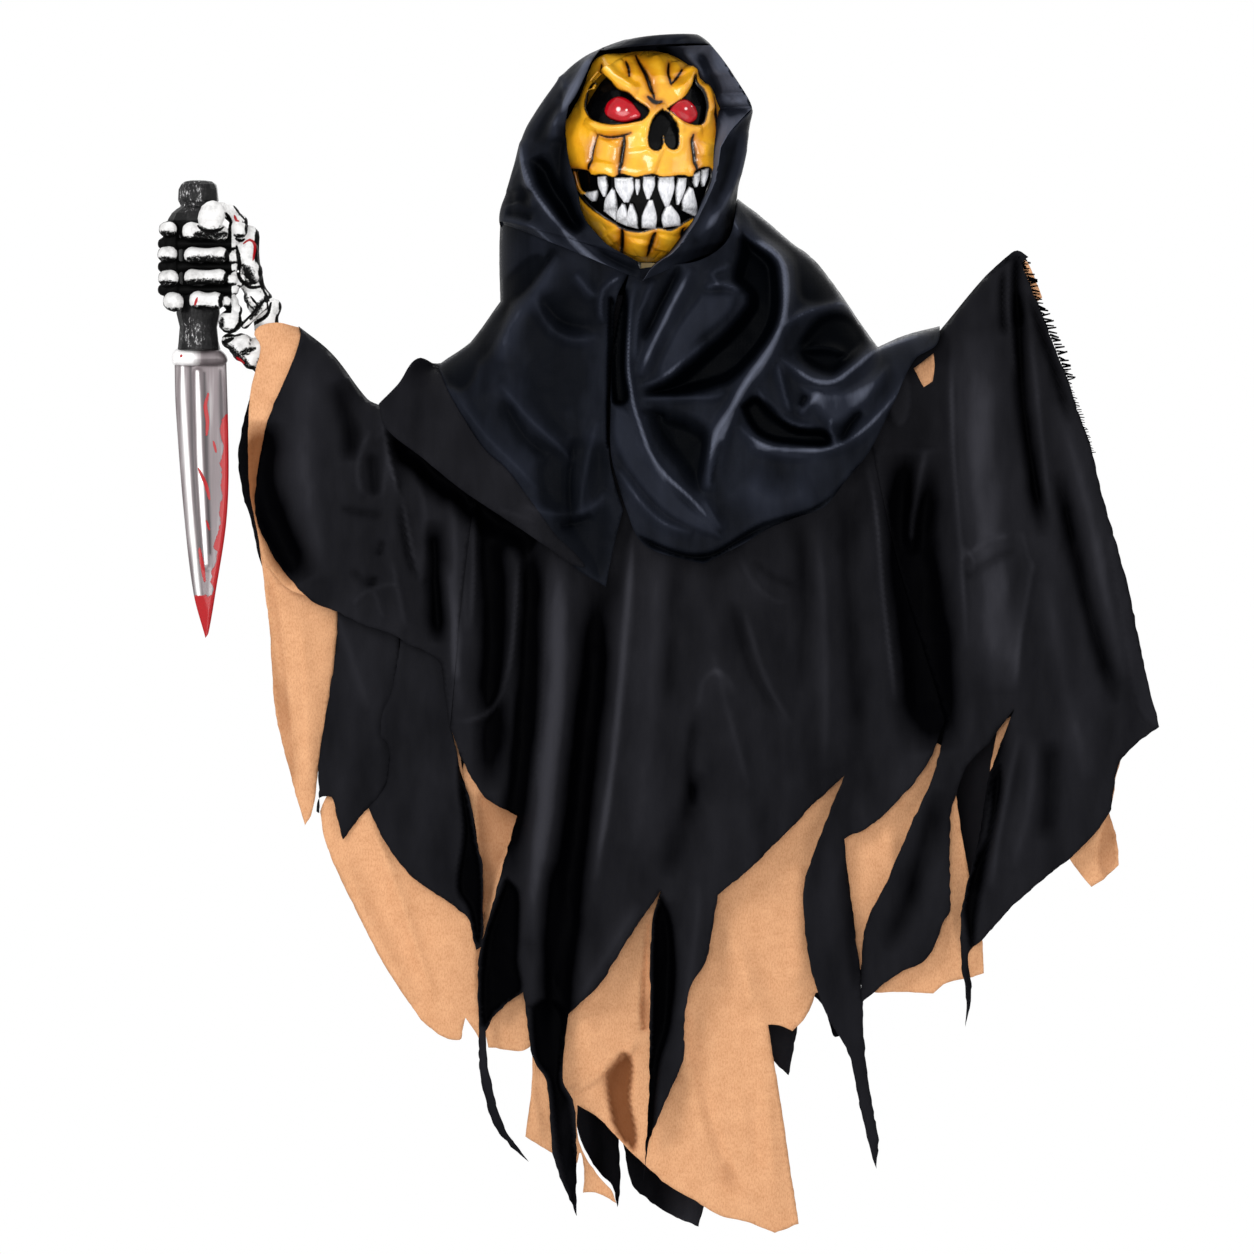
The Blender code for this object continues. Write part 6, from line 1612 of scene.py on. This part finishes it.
# Outlines of the blade and the bolster, and lines with widths for painted highlights, painted shade and red
# paint
blade_edge_px = px(227, 416, 227, 488, 224, 530, 215, 587, 207, 633)
blade_left_px = px(173, 362, 174, 404, 182, 509, 192, 593, 204, 638)
blade_right_px = px(204, 638, 207, 633, 215, 587, 224, 530, 227, 488, 227, 435, 225, 362)
blade_highlight_px = [
    (px(181, 366, 182, 404, 189, 509, 197, 593, 203, 622), 2.6), (px(196, 371, 199, 470, 205, 566), 2.4),
]
blade_shade_px = [
    (px(189, 366, 192, 470, 199, 560), 2.6), (px(203, 372, 206, 470, 209, 556), 2.4),
    (px(219, 370, 221, 440), 2.4),
]
blade_blood_px = [
    (px(207, 393, 204, 405, 206, 420, 205, 437), 2.2), (px(197, 468, 201, 476, 205, 486, 209, 502), 2.0),
    (px(198, 548, 200, 560, 204, 584), 2.2), (px(212, 440, 215, 452), 1.4), (px(205, 520, 208, 530), 1.3),
]
bolster_px = px(175, 348, 216, 348, 222, 351, 226, 357, 225, 362, 221, 364, 173, 364, 170.5, 360, 171, 353)


def make_blade(finishes):
    """The toy knife's blade, ground from its edge to a fuller, with red paint on it."""
    loop = outline([blade_left_px, blade_right_px, blade_right_px[-1:]], 1.6)

    def ground(flat):
        """Half the blade's thickness at its points."""
        edge = line_distance(flat, closed(loop))[0]
        left = line_distance(flat, blade_left_px)[0]
        groove = line_distance(flat, blade_highlight_px[1][0])[0]
        bevel = np.clip(np.minimum(left / 9, edge / 3), 0, 1)
        return 0.35 * MM + 1.65 * MM * bevel - 0.9 * MM * np.exp(-(groove / 4) ** 4)

    piece, pixels = thick_plate("toy_blade", loop, ground, finishes["blade"], 1.6)
    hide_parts("knife_blade")
    edge = line_distance(pixels, blade_edge_px)[0]
    wavy = 6.5 + 3.5 * waves(pixels * (0.3, 1), 16, 33) + 2 * waves(pixels * (0.3, 1), 6, 34)
    dipped = np.clip((pixels[:, 1] - 590) / 12, 0, 1)
    red = np.maximum(np.clip(1.4 - edge / wavy, 0, 1) * (pixels[:, 1] > 412), dipped)
    paint(piece, "blood", np.maximum(red, marks(pixels, blade_blood_px)))
    # Painted highlights along the bevel and fuller, and painted shade beside them
    shine = 0.45 + 0.55 * marks(pixels, blade_highlight_px) - 0.4 * marks(pixels, blade_shade_px)
    paint(piece, "shine", np.clip(shine, 0, 1))


def make_bolster(finishes):
    """The rounded bolster between the grip and the blade."""
    loop = outline([bolster_px], 1.2)

    def swollen(flat):
        """Half the bolster's thickness at its points."""
        return 3 * MM + 8 * MM * rounded(line_distance(flat, closed(loop))[0], 7)

    piece, pixels = thick_plate("knife_bolster", loop, swollen, finishes["blade"], 1.3)
    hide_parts("knife_guard")
    paint(piece, "blood", marks(pixels, [(px(179.5, 356, 181, 354.5), 1.8)]))
    # Painted highlight: lighter towards the bolster's left side
    paint(piece, "shine", np.clip(0.95 - (pixels[:, 0] - 190) / 18, 0.3, 1))


# Torn threads

# Edges that carry threads: a line, then their spacing, length and thickness, and a seed
thread_rows = [
    (px(1020, 256, 1024, 266, 1032, 288, 1039, 306, 1046, 323, 1052, 338, 1060, 358, 1070, 382),
     3.1 * MM, 7.8 * MM, 2.3 * MM, 4),
    (px(1062, 364, 1071, 390, 1082, 422, 1093, 455), 2.4 * MM, 3.6 * MM, 1.1 * MM, 9),
]


def thread_nodes(robe):
    """Geometry nodes that set tapered threads, pointing outwards, along an edge."""
    tree = bpy.data.node_groups.new("Torn threads", "GeometryNodeTree")
    tree.interface.new_socket("Geometry", in_out="INPUT", socket_type="NodeSocketGeometry")
    sockets = {}
    for name, kind in (("Spacing", "Float"), ("Length", "Float"), ("Thickness", "Float"), ("Seed", "Int")):
        made = tree.interface.new_socket(name, in_out="INPUT", socket_type="NodeSocket" + kind)
        sockets[name] = made.identifier
    tree.interface.new_socket("Geometry", in_out="OUTPUT", socket_type="NodeSocketGeometry")

    def node(kind, inputs=None, **settings):
        """A geometry node, with values or links for its inputs."""
        made = tree.nodes.new(kind)
        for key, value in settings.items():
            setattr(made, key, value)
        for key, value in (inputs or {}).items():
            if isinstance(value, bpy.types.NodeSocket):
                tree.links.new(value, made.inputs[key])
            else:
                made.inputs[key].default_value = value
        return made

    start = node("NodeGroupInput").outputs
    path = node("GeometryNodeMeshToCurve", {"Mesh": start["Geometry"]})
    even = node("GeometryNodeResampleCurve", {"Curve": path.outputs["Curve"], "Length": start["Spacing"]},
                mode="LENGTH")
    turned = node("FunctionNodeRandomValue", {"Min": (-0.3, 1.3, -0.4), "Max": (0.3, 2.0, 0.4),
                                              "Seed": start["Seed"]}, data_type="FLOAT_VECTOR")
    grown = node("FunctionNodeRandomValue", {2: 0.7, 3: 1.25, "Seed": start["Seed"]})
    rod = node("GeometryNodeMeshCone", {"Vertices": 5, "Side Segments": 3, "Radius Top": 0.3,
                                        "Radius Bottom": 0.5, "Depth": 1.0})
    size = node("ShaderNodeCombineXYZ", {"X": start["Thickness"], "Y": start["Thickness"],
                                         "Z": start["Length"]})
    shaped = node("GeometryNodeTransform", {"Geometry": rod.outputs["Mesh"], "Scale": size.outputs["Vector"]})
    placed = node("GeometryNodeInstanceOnPoints", {
        "Points": even.outputs["Curve"], "Instance": shaped.outputs["Geometry"],
        "Rotation": turned.outputs["Value"], "Scale": grown.outputs[1]})
    real = node("GeometryNodeRealizeInstances", {"Geometry": placed.outputs["Instances"]})
    coated = node("GeometryNodeSetMaterial", {"Geometry": real.outputs["Geometry"], "Material": robe})
    node("NodeGroupOutput", {"Geometry": coated.outputs["Geometry"]})
    return tree, sockets


def make_threads(finishes):
    """The frayed threads beside the left sleeve's peak."""
    tree, sockets = thread_nodes(finishes["robe"])
    for number, (line, *values) in enumerate(thread_rows):
        path = curve(line, 3)
        spots = place(path, robe_front(path)[0] - 1.2 * MM)
        mesh = bpy.data.meshes.new("torn_edge")
        mesh.from_pydata([tuple(at) for at in spots], [(k, k + 1) for k in range(len(spots) - 1)], [])
        draft = linked("torn_edge", mesh)
        modifier = draft.modifiers.new("Threads", "NODES")
        modifier.node_group = tree
        for name, value in zip(("Spacing", "Length", "Thickness", "Seed"), values):
            modifier[sockets[name]] = value
        fringe = evaluated(draft)
        fringe.name = f"sleeve_threads_{number + 1}"
        piece = linked(fringe.name, fringe)
        swing(piece)


# Camera, lights and floor

floor_radius = 2.4
floor_height = -1.34
floor_sides = 96
ambient_strength = 0.46
lamp_target = Vector((0, 0, -0.5))

# Lamps: name, place, size and power
lamps = (
    ("Key", (-1.7, -2.5, 0.9), 1.5, 50), ("Fill", (2.2, -2.3, 0.3), 1.8, 18),
    ("Front", (-0.1, -3.1, -0.5), 1.0, 34), ("Top", (0.2, 0.4, 2.2), 1.6, 22),
    ("Back", (0.5, 3.0, 0.6), 2.0, 22),
)

def make_camera():
    """A camera straight in front of the figure, with the photograph's frame."""
    middle = place([(image_px / 2, image_px / 2)], -camera_distance)[0]
    lens = bpy.data.cameras.new("Camera")
    lens.sensor_width = sensor_mm
    lens.lens = lens.sensor_width * (camera_distance + focus_depth) / (image_px * metres_per_px)
    lens.clip_end = 50
    camera = linked("Camera", lens)
    camera.location = middle
    camera.rotation_euler = (math.pi / 2, 0, 0)
    bpy.context.scene.camera = camera


def make_lamps():
    """Soft round lamps that face the figure."""
    for name, where, size, power in lamps:
        light = bpy.data.lights.new(name, "AREA")
        light.shape = "DISK"
        light.size = size
        light.energy = power
        lamp = linked(name, light)
        lamp.location = where
        lamp.rotation_euler = (lamp_target - Vector(where)).to_track_quat("-Z", "Y").to_euler()


def make_world():
    """An even white background, dimmer where it only lights the figure."""
    world = bpy.data.worlds.new("Studio")
    world.use_nodes = True
    bpy.context.scene.world = world
    tree = world.node_tree
    ambient = tree.nodes["Background"]
    ambient.inputs["Color"].default_value = (1, 1, 1, 1)
    ambient.inputs["Strength"].default_value = ambient_strength
    white = tree.nodes.new("ShaderNodeBackground")
    white.inputs["Color"].default_value = (1, 1, 1, 1)
    path = tree.nodes.new("ShaderNodeLightPath")
    seen = path.outputs["Is Camera Ray"]
    for name in ("Is Glossy Ray", "Is Transmission Ray"):
        either = tree.nodes.new("ShaderNodeMath")
        either.operation = "MAXIMUM"
        tree.links.new(seen, either.inputs[0])
        tree.links.new(path.outputs[name], either.inputs[1])
        seen = either.outputs["Value"]
    choose = tree.nodes.new("ShaderNodeMixShader")
    tree.links.new(seen, choose.inputs["Fac"])
    tree.links.new(ambient.outputs["Background"], choose.inputs[1])
    tree.links.new(white.outputs["Background"], choose.inputs[2])
    tree.links.new(choose.outputs["Shader"], tree.nodes["World Output"].inputs["Surface"])


def make_floor():
    """A pale round floor below the figure."""
    turns = np.linspace(0, math.tau, floor_sides, endpoint=False)
    rim = np.column_stack((floor_radius * np.cos(turns), floor_radius * np.sin(turns),
                           np.full(floor_sides, floor_height)))
    ground = finish("pale_floor", tone(236, 236, 236), 0.7, specular_ior_level=0.1)
    clouds = noise(ground, spot(ground), 0.4, 2)
    colour = ramp(ground, clouds, (0.3, tone(232, 232, 232)), (0.7, tone(240, 240, 240)))
    join_up(ground, "Base Color", colour)
    floor = new_piece("floor", rim, [tuple(range(floor_sides))], ground, False)


bpy.context.scene.view_settings.view_transform = "Standard"
finishes = make_finishes()
repaint(finishes)
make_camera()
make_lamps()
make_world()
make_floor()
make_robe(finishes)
make_cape(finishes)
make_mask(finishes)
make_teeth(finishes)
make_eyes(finishes)
make_hood(finishes)
make_hand(finishes)
make_grip(finishes)
make_blade(finishes)
make_bolster(finishes)
make_threads(finishes)
